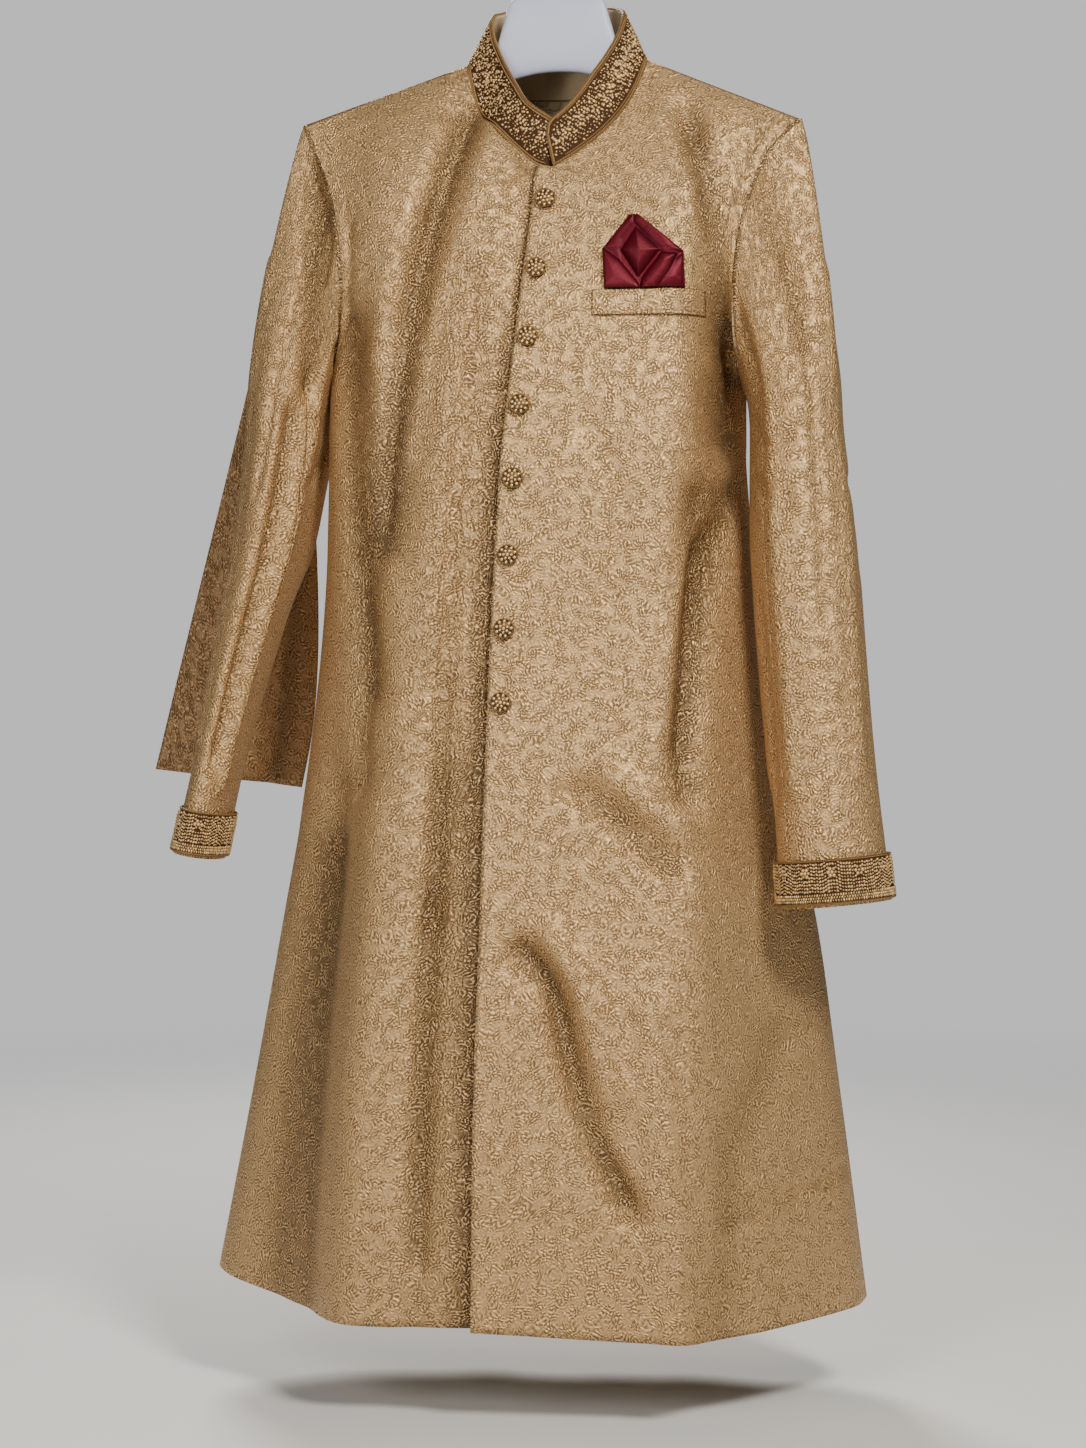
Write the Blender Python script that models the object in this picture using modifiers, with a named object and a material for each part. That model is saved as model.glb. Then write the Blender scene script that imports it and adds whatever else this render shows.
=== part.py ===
"""A sherwani coat hanging on a moulded hanger, modelled as sewn cloth pieces at their real size.

Metres, +Z up. The coat's front faces -Y and the wearer's left side is at +X. The origin lies inside
the bend of the hook, where a rail carries it. A "drop" is a distance below the side of the neck.
"""

import math
from collections import namedtuple

import bmesh
import bpy
import numpy as np
from mathutils import Vector
from mathutils.bvhtree import BVHTree

NECK_Z = -0.135  # the side of the neck, below the hook's bend
CLOTH = 0.0018  # brocade with its backing
BAND = 0.0026  # stiffened, embroidered band
SEAM = 0.0003  # between pieces that are sewn together

CHEST_DROP = 0.36
SLIT_DROP = 0.745
SLIT_GAP = 0.0032
OVERLAP = 0.035  # how far the right front runs on under the left
OVERLAP_GAP = 0.0009
NECK_ROWS = 8  # rows from the side of the neck down to the front corner of a front's neckline
ARMHOLE_ROWS = 11
UPPER_ROWS = 15
LOWER_ROWS = 15
FRONT_COLUMNS = 13
SHOULDER_COLUMNS = 7  # of the back, from its armhole to its neckline
NECK_COLUMNS = 13
BACK_NECK_SHARE = 0.30  # where the back's neckline begins, as a share of its width
FRONT_BELLY = 0.006  # how far the front edge curves forward between neck and chest
FRONT_PULL = 2.0  # how quickly the pull of a side edge dies away across the cloth
BACK_PULL = 4.0
LEAN = 1.6  # how fast cloth leaves the shoulder: outwards, for each metre that it goes out by the chest
FALL = 0.02  # and downwards, for each metre of its drop to the chest

# Sections of the body below the arms. Each side has its front corner and its side seam.
Section = namedtuple("Section", "drop edge_x front_y corner_x corner_y side_x side_y")
RIGHT_SECTIONS = (
    Section(0.36, -0.034, -0.110, -0.150, -0.100, -0.2040, -0.004),
    Section(0.47, -0.040, -0.113, -0.145, -0.103, -0.2080, 0.000),
    Section(0.56, -0.0435, -0.118, -0.135, -0.112, -0.2165, 0.002),
    Section(0.65, -0.0455, -0.128, -0.127, -0.124, -0.2290, 0.005),
    Section(0.75, -0.047, -0.140, -0.130, -0.134, -0.2480, 0.012),
    Section(0.90, -0.050, -0.155, -0.147, -0.144, -0.2770, 0.022),
    Section(1.11, -0.051, -0.165, -0.157, -0.150, -0.3200, 0.032),
)
LEFT_SECTIONS = (
    Section(0.36, -0.034, -0.110, 0.124, -0.100, 0.1670, 0.024),
    Section(0.47, -0.040, -0.113, 0.126, -0.102, 0.1760, 0.024),
    Section(0.56, -0.0435, -0.118, 0.128, -0.108, 0.1880, 0.024),
    Section(0.65, -0.0455, -0.128, 0.128, -0.119, 0.2030, 0.024),
    Section(0.75, -0.047, -0.140, 0.133, -0.131, 0.2265, 0.026),
    Section(0.90, -0.050, -0.155, 0.137, -0.144, 0.2480, 0.028),
    Section(1.11, -0.051, -0.165, 0.1355, -0.155, 0.2750, 0.032),
)
BackSection = namedtuple("BackSection", "drop back_y right_corner_x left_corner_x")
BACK_SECTIONS = (
    BackSection(0.36, 0.100, -0.150, 0.132),
    BackSection(0.47, 0.098, -0.150, 0.135),
    BackSection(0.56, 0.100, -0.155, 0.142),
    BackSection(0.65, 0.106, -0.164, 0.150),
    BackSection(0.75, 0.114, -0.178, 0.162),
    BackSection(0.90, 0.124, -0.200, 0.180),
    BackSection(1.11, 0.136, -0.235, 0.200),
)
BACK_CORNER_IN = 0.012  # the back's corners lie this far forward of its centre
SIDE_STRAIGHT = 0.030  # straight run on each side of a side seam
CORNER_EASE = 0.030  # over what stretch of cloth a section's corner is rounded
TUCK = 0.0085  # how far the right front dips beside the left front's edge
TUCK_WIDTH = 0.024

# Where the cloth turns at its top: neckline, shoulder seam and armhole, as x, y, drop.
Rim = namedtuple("Rim", "x y drop")
UNDER_NECK = (Rim(0.020, -0.0540, 0.1090), Rim(0.005, -0.0550, 0.1060))
RIGHT_NECK = (
    Rim(-0.012, -0.0580, 0.1010),
    Rim(-0.030, -0.0520, 0.0840),
    Rim(-0.058, -0.0360, 0.0570),
    Rim(-0.0730, -0.0180, 0.0300),
    Rim(-0.0805, 0.0020, 0.0000),
)
LEFT_NECK = (
    Rim(-0.0094, -0.0605, 0.1050),
    Rim(0.006, -0.0600, 0.1035),
    Rim(0.0345, -0.0520, 0.0840),
    Rim(0.0600, -0.0360, 0.0560),
    Rim(0.0730, -0.0180, 0.0290),
    Rim(0.0800, 0.0020, 0.0000),
)
BACK_NECK = (
    Rim(-0.0805, 0.0020, 0.0000),
    Rim(-0.068, 0.0320, -0.0060),
    Rim(-0.035, 0.0570, -0.0095),
    Rim(0.000, 0.0640, -0.0100),
    Rim(0.035, 0.0570, -0.0095),
    Rim(0.068, 0.0320, -0.0060),
    Rim(0.0800, 0.0020, 0.0000),
)
RIGHT_ARMHOLE = (
    Rim(-0.2234, -0.022, 0.054),
    Rim(-0.2096, -0.034, 0.087),
    Rim(-0.1960, -0.045, 0.120),
    Rim(-0.1875, -0.055, 0.160),
    Rim(-0.1820, -0.060, 0.205),
    Rim(-0.1890, -0.045, 0.252),
    Rim(-0.2040, -0.004, 0.285),
)
LEFT_ARMHOLE = (
    Rim(0.2165, -0.022, 0.061),
    Rim(0.1925, -0.036, 0.086),
    Rim(0.1790, -0.045, 0.114),
    Rim(0.1675, -0.053, 0.152),
    Rim(0.1610, -0.060, 0.200),
    Rim(0.1590, -0.040, 0.252),
    Rim(0.1670, 0.024, 0.285),
)
RIGHT_BACK_ARMHOLE = (
    Rim(-0.2234, -0.022, 0.054),
    Rim(-0.2150, 0.006, 0.083),
    Rim(-0.2010, 0.034, 0.120),
    Rim(-0.1930, 0.052, 0.165),
    Rim(-0.1930, 0.056, 0.210),
    Rim(-0.1980, 0.038, 0.255),
    Rim(-0.2040, -0.004, 0.285),
)
LEFT_BACK_ARMHOLE = (
    Rim(0.2165, -0.022, 0.061),
    Rim(0.2040, 0.006, 0.090),
    Rim(0.1910, 0.034, 0.126),
    Rim(0.1810, 0.054, 0.170),
    Rim(0.1740, 0.060, 0.215),
    Rim(0.1680, 0.048, 0.255),
    Rim(0.1670, 0.024, 0.285),
)

HemPoint = namedtuple("HemPoint", "share drop")
RIGHT_HEM = (HemPoint(0.0, 1.0955), HemPoint(0.5, 1.0970), HemPoint(1.0, 1.0765))
LEFT_HEM = (HemPoint(0.0, 1.0988), HemPoint(0.55, 1.1060), HemPoint(1.0, 1.0970))
BACK_HEM = (HemPoint(0.0, 1.0770), HemPoint(0.5, 1.0980), HemPoint(1.0, 1.0960))
UNDER_SHARES = (0.0, 0.06, 0.115, 0.165, 0.215)  # columns of the right front under and by the edge

SEAM_FADE = 0.12  # folds die away over this share of a piece's width next to a seam
# A fold is a soft trough or ridge along a path of x, drop points.
Fold = namedtuple("Fold", "height width path")
FRONT_FOLDS = (
    Fold(-0.010, 0.022, ((-0.078, 0.050), (-0.098, 0.160), (-0.114, 0.270), (-0.137, 0.430))),
    Fold(0.006, 0.020, ((-0.052, 0.130), (-0.066, 0.260), (-0.086, 0.400), (-0.092, 0.520))),
    Fold(-0.007, 0.018, ((-0.172, 0.240), (-0.160, 0.380), (-0.150, 0.560))),
    Fold(-0.008, 0.020, ((0.122, 0.075), (0.134, 0.140), (0.150, 0.240), (0.158, 0.340))),
    Fold(-0.010, 0.016, ((0.138, 0.395), (0.131, 0.480), (0.122, 0.600), (0.127, 0.650))),
    Fold(-0.008, 0.014, ((0.045, 0.640), (0.072, 0.664), (0.113, 0.700))),
    Fold(0.006, 0.013, ((0.055, 0.622), (0.088, 0.650), (0.120, 0.668))),
    Fold(-0.009, 0.015, ((-0.010, 0.783), (0.018, 0.815), (0.038, 0.878), (0.081, 0.985))),
    Fold(0.006, 0.014, ((0.020, 0.775), (0.050, 0.830), (0.068, 0.900))),
    Fold(-0.006, 0.018, ((0.205, 0.850), (0.170, 0.945), (0.160, 1.100))),
    Fold(-0.009, 0.026, ((-0.205, 0.700), (-0.225, 0.850), (-0.245, 1.100))),
    Fold(-0.006, 0.020, ((-0.078, 0.640), (-0.092, 0.800), (-0.100, 1.100))),
)
BACK_FOLDS = (
    Fold(-0.009, 0.024, ((-0.110, 0.100), (-0.120, 0.260), (-0.128, 0.450))),
    Fold(-0.008, 0.022, ((0.095, 0.090), (0.108, 0.250), (0.118, 0.420))),
    Fold(-0.007, 0.022, ((-0.020, 0.420), (-0.012, 0.560), (0.006, 0.700))),
    Fold(0.008, 0.026, ((-0.070, 0.620), (-0.088, 0.850), (-0.105, 1.110))),
    Fold(-0.010, 0.028, ((-0.010, 0.760), (-0.018, 0.930), (-0.030, 1.110))),
    Fold(0.007, 0.024, ((0.062, 0.660), (0.072, 0.880), (0.080, 1.110))),
    Fold(-0.009, 0.026, ((0.130, 0.700), (0.140, 0.900), (0.152, 1.110))),
)

# The sleeves hang from their armholes: centre, half width and half depth of each section.
Tube = namedtuple("Tube", "drop x y half_width half_depth")
RIGHT_SLEEVE = (
    Tube(0.335, -0.2430, -0.006, 0.0335, 0.066),
    Tube(0.420, -0.2550, -0.012, 0.0300, 0.060),
    Tube(0.520, -0.2778, -0.020, 0.0240, 0.055),
    Tube(0.620, -0.2996, -0.030, 0.0194, 0.050),
    Tube(0.705, -0.3163, -0.040, 0.0207, 0.047),
)
LEFT_SLEEVE = (
    Tube(0.335, 0.2165, -0.020, 0.0390, 0.058),
    Tube(0.420, 0.2225, -0.035, 0.0440, 0.054),
    Tube(0.520, 0.2300, -0.050, 0.0445, 0.050),
    Tube(0.620, 0.2390, -0.064, 0.0440, 0.046),
    Tube(0.742, 0.2505, -0.078, 0.0474, 0.044),
)
SLEEVE_COLUMNS = 24
UNDER_SLEEVE_COLUMNS = 9
SLEEVE_CAP_ROWS = 6
SLEEVE_ROWS = 9
SLEEVE_TURN = 0.6  # radians from the innermost line of the tube back to the underarm point
SEAM_PUSH = 0.0020  # the sleeve starts this far outside its armhole
UNDERARM_PUSH = 0.0012  # and this much further under the arm
CUFF_HEIGHT = 0.036
CUFF_SHOWS = 0.003  # plain sleeve below the cuff band
CUFF_CLEAR = 0.0007  # between the sleeve's faceted outer side and the band round it
CORD_RISE = 0.0007
BandRow = namedtuple("BandRow", "share rise")
BAND_ROWS = (  # from a band's top to its foot: its corded borders stand out
    BandRow(0.00, 1.0),
    BandRow(0.10, 1.0),
    BandRow(0.14, 0.0),
    BandRow(0.86, 0.0),
    BandRow(0.90, 1.0),
    BandRow(1.00, 1.0),
)

Collar = namedtuple("Collar", "x y drop top_x top_y top_drop")
COLLAR_HALF = (
    Collar(0.0325, -0.0520, 0.0840, 0.0195, -0.0460, 0.0450),
    Collar(0.0590, -0.0360, 0.0565, 0.0370, -0.0320, 0.0170),
    Collar(0.0730, -0.0180, 0.0295, 0.0530, -0.0130, -0.0130),
    Collar(0.0802, 0.0020, 0.0000, 0.0600, 0.0070, -0.0420),
    Collar(0.0680, 0.0320, -0.0060, 0.0500, 0.0330, -0.0530),
    Collar(0.0350, 0.0570, -0.0095, 0.0265, 0.0510, -0.0570),
    Collar(0.0000, 0.0640, -0.0100, 0.0000, 0.0560, -0.0580),
)
UNDER_END = (0.0050, -0.0550, 0.1060, 0.0120, -0.0470, 0.0655)  # the right end runs on under the left
OVER_END = (0.0060, -0.0600, 0.1035, -0.0030, -0.0528, 0.0665)
UNDER_BACK = 0.0014  # how far the right half is sewn behind its neckline's outer side
COLLAR_CLEAR = 0.0010

BUTTON_DROPS = (0.1341, 0.1961, 0.2566, 0.3158, 0.3791, 0.4448, 0.5080, 0.5711)
BUTTON_INSET = 0.0115  # from the front edge to a button's centre
BUTTON_SIDES = 16
BUTTON_PROFILE = (  # radius, height: from the top of the dome down to the foot of the shank
    (0.0000, 0.0068),
    (0.0034, 0.0065),
    (0.0062, 0.0054),
    (0.0078, 0.0040),
    (0.0090, 0.0034),
    (0.0090, 0.0020),
    (0.0074, 0.0014),
    (0.0028, 0.0014),
    (0.0026, 0.0000),
    (0.0000, 0.0000),
)
ON_CLOTH = 0.0004  # between a button and the cloth's outer side
LAID_CLEAR = 0.0019  # the same for the pocket's pieces, which bridge the facets of the cloth

WELT_LEFT, WELT_RIGHT = 0.0420, 0.1380
WELT_TOP, WELT_BOTTOM = 0.2155, 0.2385
WELT_THICK = 0.0022
WELT_COLUMNS = 25
WELT_ROWS = 5
SQUARE_OUTLINE = (  # across the chest, drop: the outline of the folded satin above the welt
    (0.0525, 0.2150),
    (0.0500, 0.1800),
    (0.0730, 0.1500),
    (0.0800, 0.1495),
    (0.1205, 0.1835),
    (0.1220, 0.2150),
)
SQUARE_HEART = (0.0830, 0.1870)
SQUARE_THICK = 0.0035
HEART_RISE = 0.0075
HEART_REACH = 0.036
SQUARE_ROWS = 10
SQUARE_COLUMNS = 13

HangPoint = namedtuple("HangPoint", "x y drop")
PANEL_TOP = (HangPoint(-0.2290, -0.001, 0.068), HangPoint(-0.2190, 0.052, 0.150))
PANEL_FOOT = (HangPoint(-0.3890, 0.078, 0.631), HangPoint(-0.2530, 0.094, 0.648))
PANEL_SEAT = 0.0027  # from the armhole's cloth to the panel's sewn edge, over the bulge between them
PANEL_CLEAR = 0.006  # how much further back it hangs below
PANEL_ROWS = 13
PANEL_COLUMNS = 9
PANEL_FOLDS = (
    Fold(-0.006, 0.014, ((-0.250, 0.220), (-0.290, 0.440), (-0.320, 0.650))),
    Fold(0.006, 0.012, ((-0.235, 0.260), (-0.262, 0.460), (-0.285, 0.650))),
)

# The hanger's sections out from its middle. An arm's top follows the shoulder, just under its cloth.
HangerSection = namedtuple("HangerSection", "reach top foot thick")
HANGER_NECK = (
    HangerSection(0.000, -0.0590, 0.0090, 0.013),
    HangerSection(0.020, -0.0585, 0.0105, 0.013),
    HangerSection(0.040, -0.0560, 0.0155, 0.013),
    HangerSection(0.0475, -0.0370, 0.0200, 0.012),
    HangerSection(0.0550, -0.0130, 0.0260, 0.012),
    HangerSection(0.0680, 0.0095, 0.0370, 0.010),
    HangerSection(0.0800, 0.0205, 0.0440, 0.011),
)
HangerArm = namedtuple("HangerArm", "reach height thick")
HANGER_ARM = (
    HangerArm(0.0950, 0.034, 0.020),
    HangerArm(0.1250, 0.033, 0.024),
    HangerArm(0.1600, 0.031, 0.020),
    HangerArm(0.1830, 0.029, 0.012),
    HangerArm(0.1930, 0.022, 0.008),
)
BELOW_SHOULDERS = 0.14  # a drop that is clear of the hanger, inside the coat
ARM_CLEAR = 0.0012  # between an arm and the cloth that rests on it
HANGER_SIDES = 16
HANGER_SQUARENESS = 0.75  # exponent that makes its sections rounded boxes
HOOK_WIRE = 0.0018  # radius
HOOK_BEND = 0.0215  # radius of the wire's centre line
HOOK_STEM = ((0.0, -0.0714), (0.0, -0.0630), (0.0006, -0.0540), (0.0090, -0.0425), (0.0183, -0.0310))  # x, z
HOOK_POINTS = 36
FERRULE_RADIUS = 0.0065
FERRULE_HEIGHT = 0.004

COLOURS = {
    "brocade": ((0.50, 0.37, 0.20), 0.45, 0.25),
    "embroidery": ((0.33, 0.21, 0.10), 0.55, 0.30),
    "button_metal": ((0.45, 0.29, 0.13), 0.35, 0.80),
    "satin": ((0.16, 0.008, 0.025), 0.35, 0.00),
    "moulded_plastic": ((0.62, 0.62, 0.70), 0.45, 0.00),
    "steel": ((0.55, 0.55, 0.57), 0.25, 1.00),
    "brass": ((0.55, 0.40, 0.18), 0.30, 1.00),
}

for old in list(bpy.data.objects):
    bpy.data.objects.remove(old, do_unlink=True)
coat = bpy.data.collections.new("sherwani_coat_on_hanger")
bpy.context.scene.collection.children.link(coat)


def finish_of(name):
    """The named material, made on first use."""
    material = bpy.data.materials.get(name) or bpy.data.materials.new(name)
    material.use_nodes = True
    colour, roughness, metallic = COLOURS[name]
    shader = material.node_tree.nodes["Principled BSDF"]
    shader.inputs["Base Color"].default_value = (*colour, 1.0)
    shader.inputs["Roughness"].default_value = roughness
    shader.inputs["Metallic"].default_value = metallic
    return material


def placed(name, data, finish):
    data.materials.append(finish_of(finish))
    piece = bpy.data.objects.new(name, data)
    coat.objects.link(piece)
    return piece


# ---- curves and grids ----------------------------------------------------------------------


def eased(at, knots, values):
    """A smooth curve through (knots, values), read at one or more places."""
    knots = np.asarray(knots, float)
    values = np.asarray(values, float)
    at = np.clip(np.atleast_1d(at), knots[0], knots[-1])
    slope = np.gradient(values, knots, axis=0)
    i = np.clip(np.searchsorted(knots, at, side="right") - 1, 0, len(knots) - 2)
    step = (knots[i + 1] - knots[i])[:, None]
    t = (at[:, None] - knots[i][:, None]) / step
    start, end = values[i], values[i + 1]
    return (
        (1 + 2 * t) * (1 - t) ** 2 * start
        + t * (1 - t) ** 2 * step * slope[i]
        + t * t * (3 - 2 * t) * end
        + t * t * (t - 1) * step * slope[i + 1]
    )


def row_at(table, drop):
    """The table's other columns at a drop, as an array."""
    rows = np.array(table)
    return eased(drop, rows[:, 0], rows[:, 1:])[0]


def path_points(points, count, ends=(0.0, 1.0)):
    """Points spread evenly along a smooth path, between two shares of its length."""
    points = np.array(points, float)
    reach = np.concatenate([[0.0], np.cumsum(np.linalg.norm(np.diff(points, axis=0), axis=1))])
    return eased(np.linspace(*ends, count) * reach[-1], reach, points)


def rounded(corners, ease, shares):
    """Points at shares of the length of a line whose corners are eased."""
    corners = np.array(corners, float)
    legs = np.diff(corners, axis=0)
    lengths = np.linalg.norm(legs, axis=1)
    headings = legs / lengths[:, None]
    at = np.asarray(shares)[:, None] * lengths.sum()
    points = corners[0] + headings[0] * at
    for bend, turn in zip(np.cumsum(lengths)[:-1], np.diff(headings, axis=0)):
        past = at - bend
        near = np.clip(past + ease, 0.0, 2 * ease) ** 2 / (4 * ease)
        points = points + turn * np.where(past > ease, past, near)
    return points


def hung(start, leave, end, arrive, rows):
    """Rows of points on smooth columns from start to end, with the given directions."""
    t = np.linspace(0.0, 1.0, rows)[:, None, None]
    return (
        (1 + 2 * t) * (1 - t) ** 2 * start
        + t * (1 - t) ** 2 * leave
        + t * t * (3 - 2 * t) * end
        + t * t * (t - 1) * arrive
    )


def normals_of(grid, facing):
    normal = np.cross(np.gradient(grid, axis=1), np.gradient(grid, axis=0))
    normal /= np.maximum(np.linalg.norm(normal, axis=2, keepdims=True), 1e-12)
    return normal if (normal * facing).sum() > 0 else -normal


def fold_height(x, drop, folds):
    """How far the folds push the cloth out at each x, drop."""
    spot = np.stack([x, drop], axis=-1)
    height = np.zeros_like(x)
    for fold in folds:
        nearest = np.full_like(x, np.inf)
        for start, end in zip(fold.path, fold.path[1:]):
            leg = np.subtract(end, start)
            share = np.clip(((spot - start) @ leg) / (leg @ leg), 0.0, 1.0)
            gap = np.linalg.norm(spot - start - share[..., None] * leg, axis=-1)
            nearest = np.minimum(nearest, gap)
        height += fold.height * np.exp(-((nearest / fold.width) ** 2))
    return height


def folded(grid, folds, facing, to_seam):
    """The grid with its folds, which die away as to_seam, the share of the width to a seam, nears 0."""
    fade = np.clip(np.asarray(to_seam) / SEAM_FADE, 0.0, 1.0)
    height = fold_height(grid[..., 0], grid[..., 2], folds) * (3 - 2 * fade) * fade**2
    outward = normals_of(grid * (1, 1, -1), facing) * (1, 1, -1)
    return grid + outward * height[..., None]


def in_world(grid):
    """The same points with z in place of the drop."""
    return np.stack([grid[..., 0], grid[..., 1], NECK_Z - grid[..., 2]], axis=-1)


def sheet_mesh(name, grid, facing, around=False):
    """A mesh of quads over a grid of points, its faces towards facing."""
    rows, columns = grid.shape[:2]
    mesh = bpy.data.meshes.new(name)
    mesh_points = [Vector(point) for point in grid.reshape(-1, 3)]
    quads = []
    for row in range(rows - 1):
        for column in range(columns if around else columns - 1):
            beside = (column + 1) % columns
            quads.append(
                (
                    row * columns + column,
                    row * columns + beside,
                    (row + 1) * columns + beside,
                    (row + 1) * columns + column,
                )
            )
    mesh.from_pydata(mesh_points, [], quads)
    mesh.update()
    if sum(face.normal.dot(Vector(facing(face.center))) * face.area for face in mesh.polygons) < 0:
        mesh.flip_normals()
    mesh.shade_smooth()
    return mesh


def towards(direction):
    return lambda centre: direction


def away_from_axis(x_of, y_of):
    """Faces away from an upright line that leans: its x and y at each height."""
    return lambda centre: (centre.x - x_of(centre.z), centre.y - y_of(centre.z), 0.0)


def walled(name, outer, inner, facing, finish="brocade", around=False):
    """A closed wall between an outer and an inner grid of the same shape."""
    piece = placed(name, sheet_mesh(name, outer, facing, around), finish)
    shell = bmesh.new()
    shell.from_mesh(piece.data)
    shell.verts.ensure_lookup_table()
    rims = [edge for edge in shell.edges if edge.is_boundary]
    behind = [shell.verts.new(Vector(point)) for point in inner.reshape(-1, 3)]
    shell.verts.index_update()
    for face in list(shell.faces):
        shell.faces.new([behind[vert.index] for vert in reversed(face.verts)])
    for edge in rims:
        first, second = edge.verts
        shell.faces.new([second, first, behind[first.index], behind[second.index]])
    bmesh.ops.recalc_face_normals(shell, faces=shell.faces)
    shell.to_mesh(piece.data)
    shell.free()
    piece.data.shade_smooth()
    return piece


def unit(vectors):
    return vectors / np.linalg.norm(vectors, axis=-1, keepdims=True)


# ---- the body: two fronts and a back -------------------------------------------------------


def front_line(table, drop, under):
    """Corners of one front's section; the right front starts under the left one's edge."""
    edge_x, front_y, corner_x, corner_y, side_x, side_y = row_at(table, drop)
    side = [(corner_x, corner_y), (side_x, side_y - SIDE_STRAIGHT), (side_x, side_y)]
    if not under:
        return [(edge_x, front_y)] + side
    dip = (edge_x - TUCK_WIDTH / 2, front_y + TUCK)
    rise = (edge_x - 2 * TUCK_WIDTH, 0.7 * front_y + 0.3 * corner_y)
    return [(edge_x + OVERLAP, front_y + TUCK / 2), dip, rise] + side


def back_line(drop):
    """Corners of the back's section; below the slits it stands a little inside the fronts."""
    back_y, right_x, left_x = row_at(BACK_SECTIONS, drop)
    right = Section(drop, *row_at(RIGHT_SECTIONS, drop))
    left = Section(drop, *row_at(LEFT_SECTIONS, drop))
    apart = SLIT_GAP * np.clip((drop - SLIT_DROP) / 0.02, 0.0, 1.0)
    return [
        (right.side_x + apart, right.side_y + SEAM + apart),
        (right.side_x + apart, right.side_y + SIDE_STRAIGHT),
        (right_x, back_y - BACK_CORNER_IN),
        (0.0, back_y),
        (left_x, back_y - BACK_CORNER_IN),
        (left.side_x - apart, left.side_y + SIDE_STRAIGHT),
        (left.side_x - apart, left.side_y + SEAM + apart),
    ]


def level(line, drops, shares):
    """One row of points: each at its own share of the section at its own drop."""
    points = [(*rounded(line(drop), CORNER_EASE, [share])[0], drop) for drop, share in zip(drops, shares)]
    return np.array(points)


def upper_part(top, near, far, shares, line, y_sign, pull):
    """Cloth hung from its top edge to the chest, whose two sides follow the near and far edges."""
    chest = level(line, np.full(len(shares), CHEST_DROP), shares)
    height = (chest[:, 2] - top[:, 2])[:, None]
    leave = np.array([0.0, 0.0, FALL]) * height
    leave[:, 1] = LEAN * (chest[:, 1] - top[:, 1])
    arrive = np.array([0.0, y_sign * 0.05, 1.0]) * height
    base = hung(top, leave, chest, arrive, len(near))
    across = np.asarray(shares)[None, :, None]
    pull_near = (1 - across) ** pull * (near[:, None] - base[:, :1])
    pull_far = across**pull * (far[:, None] - base[:, -1:])
    return base + pull_near + pull_far


def hem_drops(hem, shares):
    rows = np.array(hem)
    return eased(shares, rows[:, 0], rows[:, 1:])[:, 0]


def lower_part(shares, hem, line):
    """Rows of cloth from below the chest down to the hem."""
    ends = hem_drops(hem, shares)
    steps = np.linspace(0.0, 1.0, LOWER_ROWS + 1)[1:]
    return np.array([level(line, CHEST_DROP + (ends - CHEST_DROP) * step, shares) for step in steps])


def joined(*stretches):
    """Stretches of points run together, each shared end kept once."""
    return np.concatenate([stretches[0]] + [stretch[1:] for stretch in stretches[1:]])


def down_line(line, share, first_drop, count):
    """Points straight down a body edge, from a drop to the chest."""
    drops = np.linspace(first_drop, CHEST_DROP, count)
    return level(line, drops, np.full(count, share))


def armhole_edge(armhole, line, share):
    """The edge from the shoulder's tip down the armhole and on down the side seam."""
    hole = path_points(armhole, ARMHOLE_ROWS)
    seam = down_line(line, share, armhole[-1].drop, UPPER_ROWS - ARMHOLE_ROWS + 1)
    return np.concatenate([hole[:-1], seam])


def neck_edge(ring, line):
    """The edge from the side of the neck down the neckline and on down the front edge."""
    top_front = level(line, [CHEST_DROP], [0.0])[0]
    drops = np.linspace(ring[-1][2], CHEST_DROP, UPPER_ROWS - NECK_ROWS + 1)
    way = ((drops - drops[0]) / (drops[-1] - drops[0]))[:, None]
    edge = ring[-1] + (top_front - ring[-1]) * way
    edge[:, 1] -= FRONT_BELLY * np.sin(math.pi * way[:, 0])
    return joined(ring, edge)


def inset_top(top, y_sign):
    """The shoulder edge moved into its cloth, so that front and back stay apart."""
    return top + np.array([0.0, y_sign * SEAM / 2, 0.0])


def front_grid(ring, armhole, shares, line, hem):
    top = inset_top(eased(shares, [0.0, 1.0], np.array([ring[0], armhole[0]])), -1.0)
    near = neck_edge(ring, line)
    far = armhole_edge(armhole, line, 1.0)
    near[0], far[0] = top[0], top[-1]
    upper = upper_part(top, near, far, shares, line, -1.0, FRONT_PULL)
    flat = np.concatenate([upper, lower_part(shares, hem, line)])
    return folded(flat, FRONT_FOLDS, (0, -1, 0), 1 - shares)


right_shares = np.concatenate([UNDER_SHARES, np.linspace(UNDER_SHARES[-1], 1.0, FRONT_COLUMNS - 1)[1:]])
left_shares = np.linspace(0.0, 1.0, FRONT_COLUMNS)


def right_line(drop):
    return front_line(RIGHT_SECTIONS, drop, under=True)


def left_line(drop):
    return front_line(LEFT_SECTIONS, drop, under=False)


right_ring = np.concatenate([path_points(RIGHT_NECK[::-1], NECK_ROWS - 2), UNDER_NECK[::-1]])
left_ring = np.concatenate([path_points(LEFT_NECK[:0:-1], NECK_ROWS - 1), LEFT_NECK[:1]])
right_front_grid = in_world(front_grid(right_ring, RIGHT_ARMHOLE, right_shares, right_line, RIGHT_HEM))
left_front_grid = in_world(front_grid(left_ring, LEFT_ARMHOLE, left_shares, left_line, LEFT_HEM))

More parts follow.
